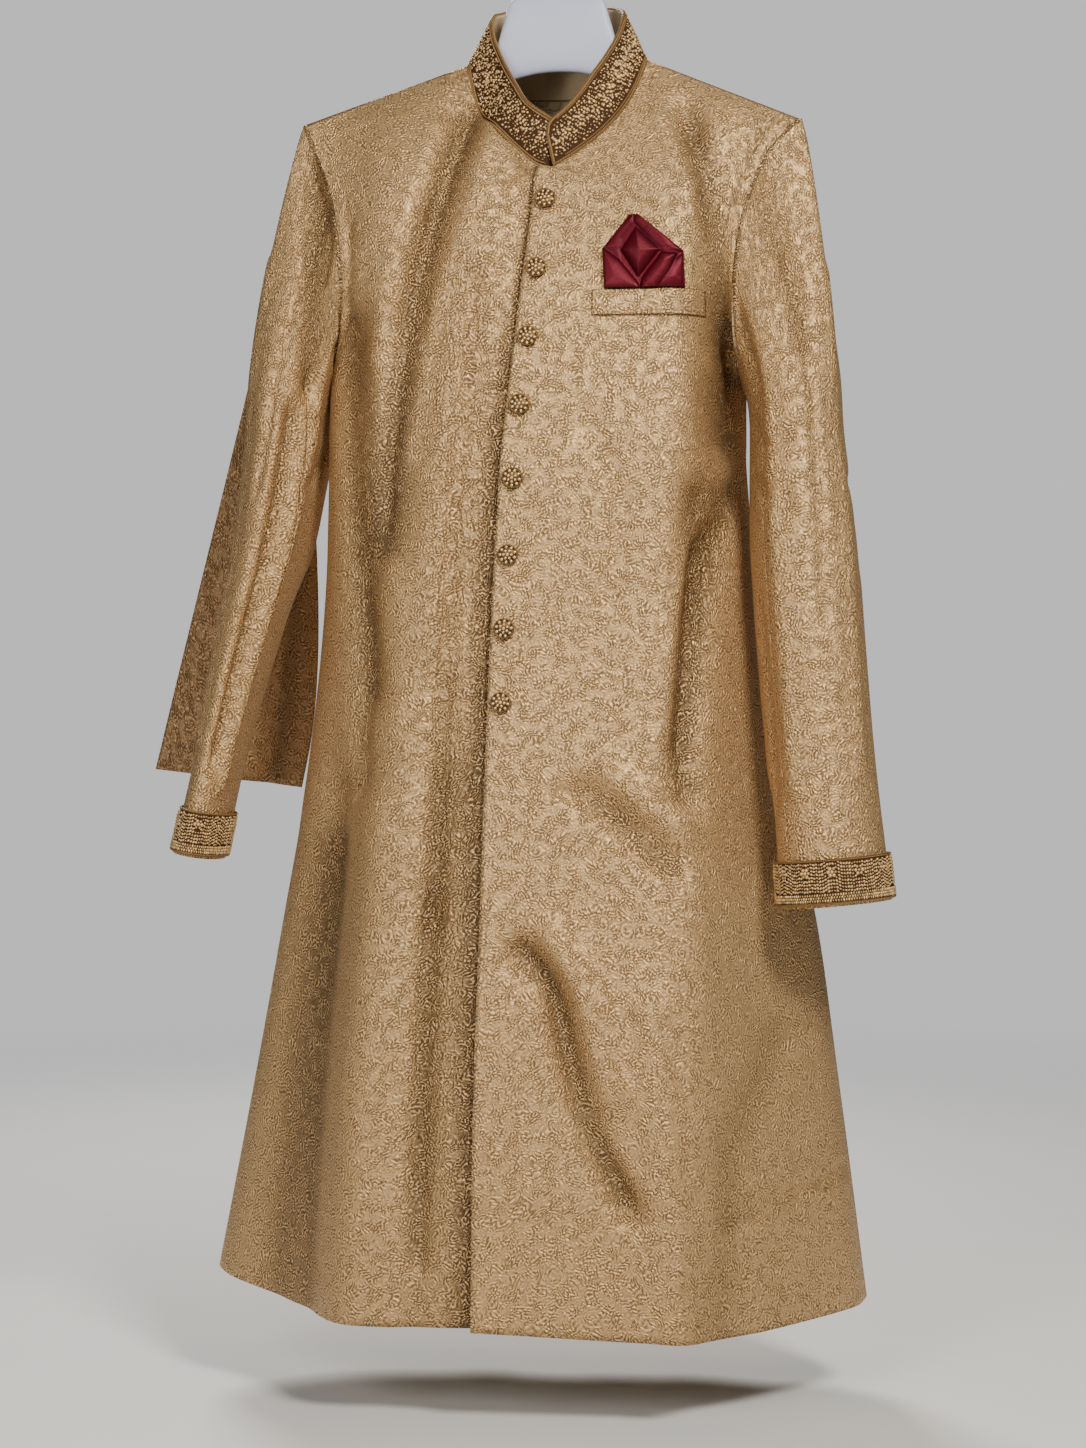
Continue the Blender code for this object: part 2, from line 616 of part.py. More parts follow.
back_shares = joined(
    np.linspace(0.0, BACK_NECK_SHARE, SHOULDER_COLUMNS),
    np.linspace(BACK_NECK_SHARE, 1 - BACK_NECK_SHARE, NECK_COLUMNS),
    np.linspace(1 - BACK_NECK_SHARE, 1.0, SHOULDER_COLUMNS),
)
back_top = inset_top(
    joined(
        path_points((RIGHT_BACK_ARMHOLE[0], BACK_NECK[0]), SHOULDER_COLUMNS),
        path_points(BACK_NECK, NECK_COLUMNS),
        path_points((BACK_NECK[-1], LEFT_BACK_ARMHOLE[0]), SHOULDER_COLUMNS),
    ),
    1.0,
)
back_near = armhole_edge(RIGHT_BACK_ARMHOLE, back_line, 0.0)
back_far = armhole_edge(LEFT_BACK_ARMHOLE, back_line, 1.0)
back_near[0], back_far[0] = back_top[0], back_top[-1]
back_upper = upper_part(back_top, back_near, back_far, back_shares, back_line, 1.0, BACK_PULL)
back_flat = np.concatenate([back_upper, lower_part(back_shares, BACK_HEM, back_line)])
back_grid = in_world(folded(back_flat, BACK_FOLDS, (0, 1, 0), np.minimum(back_shares, 1 - back_shares)))



def surface_of(piece):
    bpy.context.view_layer.update()
    return BVHTree.FromObject(piece, bpy.context.evaluated_depsgraph_get())


def tucked_under(grid, cover, clearance):
    """The grid with each point that lies behind the cover kept this far behind its outer side."""
    tucked = grid.copy()
    for place in np.ndindex(grid.shape[:2]):
        x, y, z = grid[place]
        hit = cover.ray_cast(Vector((x, -1.0, z)), Vector((0.0, 1.0, 0.0)))[0]
        if hit is not None and y < hit.y + clearance:
            tucked[place][1] = hit.y + clearance
    return tucked


def shoulder_out(neck_side, tip):
    """Up and out from a shoulder seam, at right angles to it."""
    fall = tip.drop - neck_side.drop
    run = tip.x - neck_side.x
    return unit(np.array([fall * np.sign(run), 0.0, abs(run)]))


left_out = normals_of(left_front_grid, (0, -1, 0))
back_out = normals_of(back_grid, (0, 1, 0))
left_out[0] = shoulder_out(LEFT_NECK[-1], LEFT_ARMHOLE[0])
back_out[0, :SHOULDER_COLUMNS] = shoulder_out(RIGHT_NECK[-1], RIGHT_ARMHOLE[0])
back_out[0, -SHOULDER_COLUMNS:] = left_out[0, 0]
left_out[1:, -1] = back_out[1:, -1] = unit(left_out[1:, -1] + back_out[1:, -1])
left_front = walled(
    "left_front", left_front_grid, left_front_grid - left_out * CLOTH, towards((0.0, -1.0, 0.0))
)
left_surface = surface_of(left_front)
right_front_grid = tucked_under(right_front_grid, left_surface, CLOTH + OVERLAP_GAP)
right_out = normals_of(right_front_grid, (0, -1, 0))
right_out[0] = back_out[0, 0]
right_out[1:, -1] = back_out[1:, 0] = unit(right_out[1:, -1] + back_out[1:, 0])
walled("right_front", right_front_grid, right_front_grid - right_out * CLOTH, towards((0.0, -1.0, 0.0)))
walled("back", back_grid, back_grid - back_out * CLOTH, towards((0.0, 1.0, 0.0)))


# ---- the sleeves ---------------------------------------------------------------------------


def sleeve_axis(table, drop):
    """Centre, half width, half depth, and lean per metre of drop, at a drop."""
    x, y, half_width, half_depth = row_at(table, drop)
    ahead = row_at(table, min(drop + 0.02, table[-1].drop))
    behind = row_at(table, drop - 0.02)
    run = min(drop + 0.02, table[-1].drop) - max(drop - 0.02, table[0].drop)
    return x, y, half_width, half_depth, (ahead[0] - behind[0]) / run


def sleeve_ring(table, inner_sign, drop, turns):
    """Points of one section; turn 0 is the underarm, a quarter the front, a half the outside."""
    x, y, half_width, half_depth, lean = sleeve_axis(table, drop)
    angle = 2 * math.pi * turns - SLEEVE_TURN
    across = inner_sign * half_width * np.cos(angle)
    return np.column_stack([x + across, y - half_depth * np.sin(angle), drop - lean * across])


def sleeve_grid(table, front_armhole, back_armhole, inner_sign):
    """The whole sleeve from its armhole to its end, a column for each turn."""
    turns = np.linspace(0.0, 1.0, SLEEVE_COLUMNS + 1)
    half = SLEEVE_COLUMNS // 2 + 1
    hole = joined(path_points(front_armhole[::-1], half), path_points(back_armhole, half))
    outward = np.array([-inner_sign, 0.0, 0.0])
    top_ring = sleeve_ring(table, inner_sign, table[0].drop, turns)
    height = (top_ring[:, 2] - hole[:, 2])[:, None]
    raised = 0.5 - 0.5 * np.cos(2 * math.pi * turns)[:, None]
    leave = outward * (0.032 - 0.010 * raised) + np.array([0.0, 0.0, 1.0]) * height * (1 - 0.8 * raised)
    arrive = np.array([0.0, -0.02, 1.0]) * height * 1.1
    hole = hole + outward * (SEAM_PUSH + UNDERARM_PUSH * (1 - raised))
    cap = hung(hole, leave, top_ring, arrive, SLEEVE_CAP_ROWS + 1)
    drops = np.linspace(table[0].drop, table[-1].drop, SLEEVE_ROWS + 1)[1:]
    rings = [sleeve_ring(table, inner_sign, drop, turns) for drop in drops]
    return np.concatenate([cap, rings])


def make_sleeve(side, table, front_armhole, back_armhole, inner_sign):
    grid = sleeve_grid(table, front_armhole, back_armhole, inner_sign)
    rows = np.array(table)

    def axis_x(z):
        return float(np.interp(NECK_Z - z, rows[:, 0], rows[:, 1]))

    def axis_y(z):
        return float(np.interp(NECK_Z - z, rows[:, 0], rows[:, 2]))

    wrapped = in_world(np.concatenate([grid[:, -2:-1], grid, grid[:, 1:2]], axis=1))
    middle = np.array([[axis_x(z), axis_y(z), z] for z in wrapped[..., 2].ravel()]).reshape(wrapped.shape)
    outer = wrapped[:, 1:-1]
    inner = outer - normals_of(wrapped, wrapped - middle)[:, 1:-1] * CLOTH
    ahead = UNDER_SLEEVE_COLUMNS // 2 + 1
    behind = SLEEVE_COLUMNS - (UNDER_SLEEVE_COLUMNS - ahead)
    for name, columns in (
        ("top", list(range(ahead, behind + 1))),
        ("under", list(range(behind, SLEEVE_COLUMNS)) + list(range(ahead + 1))),
    ):
        half = np.array([outer[:, columns], inner[:, columns]])
        for edge, beside in ((0, 1), (-1, -2)):
            half[:, :, edge] += unit(half[:, :, beside] - half[:, :, edge]) * SEAM / 2
        walled(f"{side}_{name}_sleeve", half[0], half[1], away_from_axis(axis_x, axis_y))


make_sleeve("right", RIGHT_SLEEVE, RIGHT_ARMHOLE, RIGHT_BACK_ARMHOLE, 1.0)
make_sleeve("left", LEFT_SLEEVE, LEFT_ARMHOLE, LEFT_BACK_ARMHOLE, -1.0)


# ---- bands: collar and cuffs ---------------------------------------------------------------



def collar_row(row, side):
    return [side * row.x, row.y, row.drop, side * row.top_x, row.top_y, row.top_drop]


collar_rows = [UNDER_END] + [collar_row(row, -1.0) for row in COLLAR_HALF]
collar_rows += [collar_row(row, 1.0) for row in COLLAR_HALF[-2::-1]] + [OVER_END]
collar_rows = np.array(collar_rows)
collar_seam = np.concatenate(
    [
        right_front_grid[NECK_ROWS - 2 : 0 : -1, 0] + np.array([0.0, UNDER_BACK, 0.0]),
        back_grid[0, SHOULDER_COLUMNS - 1 : -SHOULDER_COLUMNS + 1],
        left_front_grid[1 : NECK_ROWS - 1, 0],
    ]
)


def shares_along(points):
    reach = np.concatenate([[0.0], np.cumsum(np.linalg.norm(np.diff(points, axis=0), axis=1))])
    return reach / reach[-1]


collar_top = in_world(
    eased(shares_along(collar_seam), shares_along(in_world(collar_rows[:, :3])), collar_rows[:, 3:])
)
collar_foot = collar_seam + unit(collar_top - collar_seam) * COLLAR_CLEAR
collar_base = np.array([collar_top + (collar_foot - collar_top) * row.share for row in BAND_ROWS])
collar_out = normals_of(collar_base, collar_base * (1, 1, 0))
collar_rise = np.array([row.rise for row in BAND_ROWS])[:, None, None] * CORD_RISE
walled(
    "collar_band",
    collar_base + collar_out * collar_rise,
    collar_base - collar_out * BAND,
    lambda centre: (centre.x, centre.y, 0.0),
    "embroidery",
)


def cuff_band(side, table, inner_sign):
    """A band round the sleeve's end, made from the sleeve's own sections, moved out."""
    turns = np.linspace(0.0, 1.0, SLEEVE_COLUMNS + 1)[:-1]
    foot = table[-1].drop - CUFF_SHOWS
    outer, inner = [], []
    for share, rise in BAND_ROWS:
        drop = foot - CUFF_HEIGHT * (1 - share)
        ring = sleeve_ring(table, inner_sign, drop, turns)
        x, y = row_at(table, drop)[:2]
        out = ring[:, :2] - (x, y)
        out = np.column_stack([unit(out), np.zeros(len(out))])
        inner.append(ring + out * CUFF_CLEAR)
        outer.append(ring + out * (CUFF_CLEAR + BAND + rise * CORD_RISE))
    middle = row_at(table, foot)
    walled(
        f"{side}_cuff_band",
        in_world(np.array(outer)),
        in_world(np.array(inner)),
        lambda centre: (centre.x - middle[0], centre.y - middle[1], 0.0),
        "embroidery",
        around=True,
    )


cuff_band("right", RIGHT_SLEEVE, 1.0)
cuff_band("left", LEFT_SLEEVE, -1.0)


# ---- what is sewn on the left front --------------------------------------------------------


def on_left_front(x, drop):
    """The point of the left front's outer side at x, drop, and the direction away from it."""
    start = Vector((x, -1.0, NECK_Z - drop))
    point, normal = left_surface.ray_cast(start, Vector((0.0, 1.0, 0.0)))[:2]
    return point, normal



button_mesh = bpy.data.meshes.new("button")
button_mesh.from_pydata(
    [(radius, 0.0, height) for radius, height in BUTTON_PROFILE],
    [(i, i + 1) for i in range(len(BUTTON_PROFILE) - 1)],
    [],
)
button_mesh.materials.append(finish_of("button_metal"))
for number, drop in enumerate(BUTTON_DROPS, start=1):
    edge_x = float(np.interp(NECK_Z - drop, left_front_grid[::-1, 0, 2], left_front_grid[::-1, 0, 0]))
    spot, outward = on_left_front(edge_x + BUTTON_INSET, drop)
    button = bpy.data.objects.new(f"button_{number}", button_mesh)
    coat.objects.link(button)
    button.location = spot + outward * ON_CLOTH
    button.rotation_euler = outward.to_track_quat("Z", "Y").to_euler()
    turned = button.modifiers.new("turned", "SCREW")
    turned.steps = BUTTON_SIDES
    turned.render_steps = BUTTON_SIDES
    turned.use_merge_vertices = True
    turned.merge_threshold = 0.0001
    turned.use_normal_calculate = True


def laid_on_front(xs, drops, height):
    """A grid of points this far in front of the left front's outer side."""
    grid = np.empty(xs.shape + (3,))
    for place in np.ndindex(xs.shape):
        point = on_left_front(xs[place], drops[place])[0]
        grid[place] = (point.x, point.y - height[place], point.z)
    return grid


welt_x, welt_drop = np.meshgrid(
    np.linspace(WELT_LEFT, WELT_RIGHT, WELT_COLUMNS), np.linspace(WELT_TOP, WELT_BOTTOM, WELT_ROWS)
)
flat = np.zeros_like(welt_x)
walled(
    "pocket_welt",
    laid_on_front(welt_x, welt_drop, flat + LAID_CLEAR + WELT_THICK),
    laid_on_front(welt_x, welt_drop, flat + LAID_CLEAR),
    towards((0.0, -1.0, 0.0)),
    "brocade",
)

square_left = path_points([(*point, 0.0) for point in SQUARE_OUTLINE[:3]], SQUARE_ROWS)
square_right = path_points([(*point, 0.0) for point in SQUARE_OUTLINE[:2:-1]], SQUARE_ROWS)
square_u = np.linspace(0.0, 1.0, SQUARE_COLUMNS)
square_x = square_left[:, :1] + (square_right - square_left)[:, :1] * square_u
square_drop = square_left[:, 1:2] + (square_right - square_left)[:, 1:2] * square_u
heart_away = np.abs(square_x - SQUARE_HEART[0]) + np.abs(square_drop - SQUARE_HEART[1])
square_height = LAID_CLEAR + SQUARE_THICK + HEART_RISE * np.clip(1.15 - heart_away / HEART_REACH, 0.0, 1.0)
walled(
    "pocket_square",
    laid_on_front(square_x, square_drop, square_height),
    laid_on_front(square_x, square_drop, np.full_like(square_x, LAID_CLEAR)),
    towards((0.0, -1.0, 0.0)),
    "satin",
)


# ---- the panel that hangs behind the right sleeve --------------------------------------------

panel_top = path_points(PANEL_TOP, PANEL_COLUMNS)
panel_foot = path_points(PANEL_FOOT, PANEL_COLUMNS)
panel_height = (panel_foot - panel_top)[:, 2:]
panel_leave = np.array([-0.26, 0.10, 1.0]) * panel_height
panel_arrive = np.array([-0.25, 0.02, 1.0]) * panel_height
panel_grid = hung(panel_top, panel_leave, panel_foot, panel_arrive, PANEL_ROWS)
panel_grid = in_world(folded(panel_grid, PANEL_FOLDS, (0, 1, 0), np.ones(PANEL_COLUMNS)))
backing = [surface_of(bpy.data.objects[name]) for name in ("right_top_sleeve", "right_under_sleeve", "back")]
for place in np.ndindex(panel_grid.shape[:2]):
    x, y, z = panel_grid[place]
    clear = CLOTH + PANEL_SEAT + PANEL_CLEAR * min(1.0, 3 * place[0] / (PANEL_ROWS - 1))
    hits = [surface.ray_cast(Vector((x, 1.0, z)), Vector((0.0, -1.0, 0.0)))[0] for surface in backing]
    behind = [hit.y + clear for hit in hits if hit is not None]
    if behind:
        panel_grid[place][1] = max(behind) if place[0] == 0 else max(behind + [y])
panel_out = normals_of(panel_grid, (0, 1, 0))
walled("hanging_panel", panel_grid, panel_grid - panel_out * CLOTH, towards((0.0, 1.0, 0.0)))


# ---- the hanger ----------------------------------------------------------------------------


def hanger_half(shoulder_start, shoulder_end, side):
    """Sections from the middle of the hanger out to one end: x, y, top, foot, thickness."""
    sections = [[side * row.reach, 0.0, row.top, row.foot, row.thick] for row in HANGER_NECK]
    for row in HANGER_ARM:
        way = (row.reach - abs(shoulder_start.x)) / (abs(shoulder_end.x) - abs(shoulder_start.x))
        y = shoulder_start.y + (shoulder_end.y - shoulder_start.y) * way
        top = shoulder_start.drop + (shoulder_end.drop - shoulder_start.drop) * way + CLOTH + ARM_CLEAR
        sections.append([side * row.reach, y, top, top + row.height, row.thick])
    return sections


hanger_rows = hanger_half(RIGHT_NECK[-1], RIGHT_ARMHOLE[0], -1.0)[:0:-1]
hanger_rows += hanger_half(LEFT_NECK[-1], LEFT_ARMHOLE[0], 1.0)
hanger_turns = 2 * math.pi * np.arange(HANGER_SIDES) / HANGER_SIDES
hanger_rings = []
for x, y, top, foot, thick in hanger_rows:
    across = np.sign(np.cos(hanger_turns)) * np.abs(np.cos(hanger_turns)) ** HANGER_SQUARENESS
    upright = np.sign(np.sin(hanger_turns)) * np.abs(np.sin(hanger_turns)) ** HANGER_SQUARENESS
    middle, half = (top + foot) / 2, (foot - top) / 2
    hanger_rings.append(
        np.column_stack([np.full(HANGER_SIDES, x), y + across * thick / 2, middle - upright * half])
    )
hanger_grid = in_world(np.array(hanger_rings))
shoulders = [surface_of(bpy.data.objects[name]) for name in ("left_front", "right_front", "back")]
for place in np.ndindex(hanger_grid.shape[:2]):
    x, y, z = hanger_grid[place]
    for surface in shoulders:
        hit = surface.ray_cast(Vector((x, y, NECK_Z - BELOW_SHOULDERS)), Vector((0.0, 0.0, 1.0)))[0]
        if hit is not None:
            hanger_grid[place][2] = min(hanger_grid[place][2], hit.z - ARM_CLEAR)
hanger = placed(
    "hanger",
    sheet_mesh("hanger", hanger_grid, lambda centre: (0.0, centre.y, 0.0), around=True),
    "moulded_plastic",
)
capped = bmesh.new()
capped.from_mesh(hanger.data)
bmesh.ops.holes_fill(capped, edges=capped.edges, sides=HANGER_SIDES)
bmesh.ops.recalc_face_normals(capped, faces=capped.faces)
if capped.calc_volume(signed=True) < 0:
    bmesh.ops.reverse_faces(capped, faces=capped.faces)
capped.to_mesh(hanger.data)
capped.free()

hanger_top = NECK_Z - HANGER_NECK[0].top
bpy.ops.mesh.primitive_cylinder_add(
    vertices=BUTTON_SIDES,
    radius=FERRULE_RADIUS,
    depth=FERRULE_HEIGHT,
    location=(0.0, 0.0, hanger_top + SEAM + FERRULE_HEIGHT / 2),
)
ferrule = bpy.context.object
ferrule.name = "hook_ferrule"
ferrule.data.materials.append(finish_of("brass"))
for collection in list(ferrule.users_collection):
    collection.objects.unlink(ferrule)
coat.objects.link(ferrule)

bend_z = HOOK_WIRE - HOOK_BEND
arc = np.radians(np.linspace(-10.0, 195.0, 12))
hook_way = [(x, 0.0, z) for x, z in HOOK_STEM]
hook_way += [(HOOK_BEND * math.cos(a), 0.0, bend_z + HOOK_BEND * math.sin(a)) for a in arc]
hook_curve = bpy.data.curves.new("hook", "CURVE")
hook_curve.dimensions = "3D"
hook_curve.bevel_depth = HOOK_WIRE
hook_curve.bevel_resolution = 2
hook_curve.use_fill_caps = True
wire = hook_curve.splines.new("POLY")
hook_points = path_points(hook_way, HOOK_POINTS)
wire.points.add(HOOK_POINTS - 1)
for point, place in zip(wire.points, hook_points):
    point.co = (*place, 1.0)
placed("hook", hook_curve, "steel")
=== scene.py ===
"""A sherwani coat of gold brocade on a moulded hanger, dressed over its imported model.

Metres, +Z up. The coat's front faces -Y and the wearer's left side is at +X. The origin lies inside
the bend of the hook. A "drop" is a distance below the side of the neck.
"""

import math
from collections import namedtuple

import bmesh
import bpy
import numpy as np
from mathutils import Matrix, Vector, noise
from mathutils.bvhtree import BVHTree


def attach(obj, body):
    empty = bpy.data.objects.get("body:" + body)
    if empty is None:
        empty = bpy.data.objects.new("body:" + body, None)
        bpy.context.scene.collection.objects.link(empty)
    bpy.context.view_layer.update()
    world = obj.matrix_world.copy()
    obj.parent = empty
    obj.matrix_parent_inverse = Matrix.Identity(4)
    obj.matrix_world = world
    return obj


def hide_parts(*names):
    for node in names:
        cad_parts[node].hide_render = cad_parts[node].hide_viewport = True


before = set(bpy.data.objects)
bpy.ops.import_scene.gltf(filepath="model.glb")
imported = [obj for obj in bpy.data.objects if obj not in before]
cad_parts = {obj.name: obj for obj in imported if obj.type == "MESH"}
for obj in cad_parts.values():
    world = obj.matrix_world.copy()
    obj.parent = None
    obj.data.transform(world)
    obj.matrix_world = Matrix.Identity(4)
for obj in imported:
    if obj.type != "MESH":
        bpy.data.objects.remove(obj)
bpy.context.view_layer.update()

# ---- the room ------------------------------------------------------------------------------
# A pale floor that fades into pale air, a broad soft light up on the right, a weaker one on the
# left and a low one behind. The camera stands level, 2.6 m away, a little to the coat's left.

FLOOR_Z = -1.315
FLOOR_RADIUS = 3.6
FLOOR_FADES = (0.7, 3.4)  # how far out it begins to fade, and where it is gone
FLOOR_COLOUR = (0.80, 0.79, 0.77)
FLOOR_SPECK_COLOUR = (0.77, 0.76, 0.74)
AIR_COLOUR = (0.86, 0.86, 0.87)
AIR_STRENGTH = 0.11
AIR_SHOWS = 0.80  # brightness of the air itself
CAMERA_TURN = math.radians(8.0)
CAMERA_AWAY = 2.6
AIM = (0.0, 0.0, -0.724)
AIM_ASIDE = -0.01246
PIXEL = 0.00089  # metres to a pixel at the coat, in an image this many pixels high
IMAGE_HEIGHT = 1448
FILM = 24.0
LIGHTS = (  # name, place, aim, size, power, tint
    ("key_light", (1.08, -1.75, 0.85), (0.0, 0.0, -0.62), 0.6, 63.0, (1.0, 0.965, 0.90)),
    ("front_light", (-0.60, -2.1, 0.0), (0.0, 0.0, -0.65), 1.0, 24.0, (1.0, 0.98, 0.94)),
    ("back_light", (-0.9, 2.1, 0.8), (0.0, 0.0, -0.60), 1.0, 74.0, (1.0, 0.98, 0.95)),
)


def feed(slot, value):
    """Gives a socket a constant or the flow that drives it."""
    if isinstance(value, Flow):
        slot.id_data.links.new(value.socket, slot)
    else:
        slot.default_value = value


class Flow:
    """A number that flows from a node's socket. Arithmetic on it adds Math nodes."""

    def __init__(self, socket):
        self.socket = socket

    def math(self, operation, *others):
        node = self.socket.id_data.nodes.new("ShaderNodeMath")
        node.operation = operation
        for slot, value in zip(node.inputs, (self, *others)):
            feed(slot, value)
        return Flow(node.outputs[0])

    def __add__(self, other):
        return self.math("ADD", other)

    def __sub__(self, other):
        return self.math("SUBTRACT", other)

    def __rsub__(self, other):
        return self.math("MULTIPLY_ADD", -1.0, other)

    def __mul__(self, other):
        return self.math("MULTIPLY", other)

    __radd__ = __add__


class Nodes:
    """A tree of nodes in the making."""

    def __init__(self, tree):
        self.tree = tree

    def node(self, kind, settings, sockets, output=0):
        """Adds a node: its settings first, then its sockets' values or flows."""
        node = self.tree.nodes.new(kind)
        for key, value in settings.items():
            setattr(node, key, value)
        for key, value in sockets.items():
            feed(node.inputs[key], value)
        return Flow(node.outputs[output])


class Finish(Nodes):
    """A procedural material in the making: its nodes, and the shader that they feed."""

    def __init__(self, name):
        self.material = bpy.data.materials.new(name)
        self.material.use_nodes = True
        super().__init__(self.material.node_tree)
        self.shader = self.tree.nodes["Principled BSDF"]

    def on_piece(self):
        """Metres in the room, which a piece at the origin carries with it."""
        return self.node("ShaderNodeTexCoord", {}, {}, "Object")

    def on_map(self, name):
        """Where a point lies on one of the cloth's own maps."""
        return self.node("ShaderNodeUVMap", {"uv_map": name}, {})

    def part(self, vector, axis):
        return self.node("ShaderNodeSeparateXYZ", {}, {0: vector}, axis)

    def length(self, vector):
        return self.node("ShaderNodeVectorMath", {"operation": "LENGTH"}, {0: vector}, "Value")

    def grain(self, spot, scale, detail, output=0):
        """Cloudy noise, with so many grains to a metre."""
        sockets = {"Vector": spot, "Scale": scale, "Detail": detail}
        return self.node("ShaderNodeTexNoise", {}, sockets, output)

    def between(self, flow, low, high):
        """0 where the flow is below low and 1 above high."""
        sockets = {"Value": flow, "From Min": low, "From Max": high}
        return self.node("ShaderNodeMapRange", {"interpolation_type": "SMOOTHSTEP"}, sockets)

    def mixed(self, share, first, second):
        """Two colours mixed."""
        first = (*first, 1.0) if isinstance(first, tuple) else first
        second = (*second, 1.0) if isinstance(second, tuple) else second
        sockets = {0: share, 6: first, 7: second}
        return self.node("ShaderNodeMix", {"data_type": "RGBA"}, sockets, 2)

    def vector(self, operation, first, second, third=None):
        sockets = {0: first, 1: second}
        if third is not None:
            sockets["Scale" if operation == "SCALE" else 2] = third
        return self.node("ShaderNodeVectorMath", {"operation": operation}, sockets)

    def raised(self, height, depth):
        """Feeds the shader a bump of this depth, in metres."""
        bump = {"Height": height, "Distance": depth, "Strength": 1.0}
        feed(self.shader.inputs["Normal"], self.node("ShaderNodeBump", {}, bump))

    def set(self, **inputs):
        """Feeds the shader's own sockets, named with underscores."""
        for key, value in inputs.items():
            value = (*value, 1.0) if isinstance(value, tuple) else value
            feed(self.shader.inputs[key.replace("_", " ").title().replace("Ior", "IOR")], value)
        return self.material


def placed(name, data):
    """A new object in the scene, at the origin."""
    made = bpy.data.objects.new(name, data)
    bpy.context.scene.collection.objects.link(made)
    return made


floor_mesh = bpy.data.meshes.new("floor")
disc = bmesh.new()
bmesh.ops.create_circle(disc, cap_ends=True, segments=96, radius=FLOOR_RADIUS)
bmesh.ops.translate(disc, verts=disc.verts, vec=(0.0, 0.0, FLOOR_Z))
disc.to_mesh(floor_mesh)
disc.free()
ground = Finish("pale_floor")
spot = ground.on_piece()
away = ground.length(ground.vector("MULTIPLY", spot, (1.0, 1.0, 0.0)))
floor_mesh.materials.append(
    ground.set(
        base_color=ground.mixed(ground.grain(spot, 9.0, 6.0), FLOOR_COLOUR, FLOOR_SPECK_COLOUR),
        roughness=0.85,
        alpha=1 - ground.between(away, *FLOOR_FADES),
    )
)
placed("floor", floor_mesh)

air = bpy.data.worlds.new("pale_air")
air.use_nodes = True
haze = air.node_tree.nodes["Background"]
haze.inputs["Color"].default_value = (*AIR_COLOUR, 1.0)
straight = Flow(air.node_tree.nodes.new("ShaderNodeLightPath").outputs["Is Camera Ray"])
feed(haze.inputs["Strength"], straight * (AIR_SHOWS - AIR_STRENGTH) + AIR_STRENGTH)
bpy.context.scene.world = air

for name, place, aim, size, power, tint in LIGHTS:
    light = bpy.data.lights.new(name, "AREA")
    light.shape = "DISK"
    light.size = size
    light.energy = power
    light.color = tint
    lamp = placed(name, light)
    lamp.location = place
    lamp.rotation_euler = (Vector(place) - Vector(aim)).to_track_quat("Z", "Y").to_euler()

lens = bpy.data.cameras.new("camera")
lens.sensor_fit = "VERTICAL"
lens.sensor_height = FILM
lens.lens = FILM * CAMERA_AWAY / (IMAGE_HEIGHT * PIXEL)
camera = placed("camera", lens)
back_from_coat = Vector((math.sin(CAMERA_TURN), -math.cos(CAMERA_TURN), 0.0))
aside = Vector((math.cos(CAMERA_TURN), math.sin(CAMERA_TURN), 0.0))
camera.location = Vector(AIM) + aside * AIM_ASIDE + back_from_coat * CAMERA_AWAY
camera.rotation_euler = back_from_coat.to_track_quat("Z", "Y").to_euler()
bpy.context.scene.camera = camera

# ---- the body: two fronts and a back -------------------------------------------------------
# The left front laps over the right one, and a one-piece back joins both at the shoulders and the
# side seams, which end in slits. Gold silk brocade on a backing, seamed, turned under and pressed.

NECK_Z = -0.135  # the side of the neck, below the hook's bend
CLOTH = 0.0018  # brocade with its backing
SEAM = 0.0003  # between pieces that are sewn together
CHEST_DROP = 0.36
SLIT_DROP = 0.745
SLIT_GAP = 0.0032
OVERLAP = 0.035  # how far the right front runs on under the left
OVERLAP_GAP = 0.0009
NECK_ROWS = 8  # rows from the side of the neck down to the front corner of a front's neckline
ARMHOLE_ROWS = 11
UPPER_ROWS = 15
LOWER_ROWS = 15
FRONT_COLUMNS = 13
SHOULDER_COLUMNS = 7  # of the back, from its armhole to its neckline
NECK_COLUMNS = 13
BACK_NECK_SHARE = 0.30  # where the back's neckline begins, as a share of its width
FRONT_BELLY = 0.006  # how far the front edge curves forward between neck and chest
FRONT_PULL = 2.0  # how quickly the pull of a side edge dies away across the cloth
BACK_PULL = 4.0
LEAN = 1.6  # how fast cloth leaves the shoulder: outwards, for each metre out by the chest
FALL = 0.02  # and downwards, for each metre of its drop to the chest
FINER = 7  # steps of cloth between two rows or columns of the cut
CHEST_ROW = (UPPER_ROWS - 1) * FINER
# lightened as painted light, since the inside of the coat lies in shade
LINING_LIT_COLOUR = (0.60, 0.455, 0.275)
LINING_SEAM_Z = -0.1534
CLOTH_COLOURS = ((0.630, 0.405, 0.190), (0.098, 0.047, 0.018))  # thread, and the darker colour of painted shade in its grooves and creases
MEDALLION = 0.026  # from one medallion of the brocade to the next
STROKE = 0.0029  # from one stroke to the next
WEAVE_DEPTH = 0.0009
EDGE_SHADOW_LINE = (2.4, 0.0045)  # painted shadow along the left front's edge: how dark it is, and its width
EDGE_SHADOW_STRIP = (1.4, 0.020)  # and of the wider strip of painted shade beside it
EDGE_CRUMPLED = 0.030  # width of the crumpled cloth there, whose lines are bumped and darkened as painted shade
EDGE_STRIP_DROP = 0.16  # where the strip of painted shade begins
EDGE_STRIP_GROWS = 0.14  # over how much further drop it comes to its full painted shade
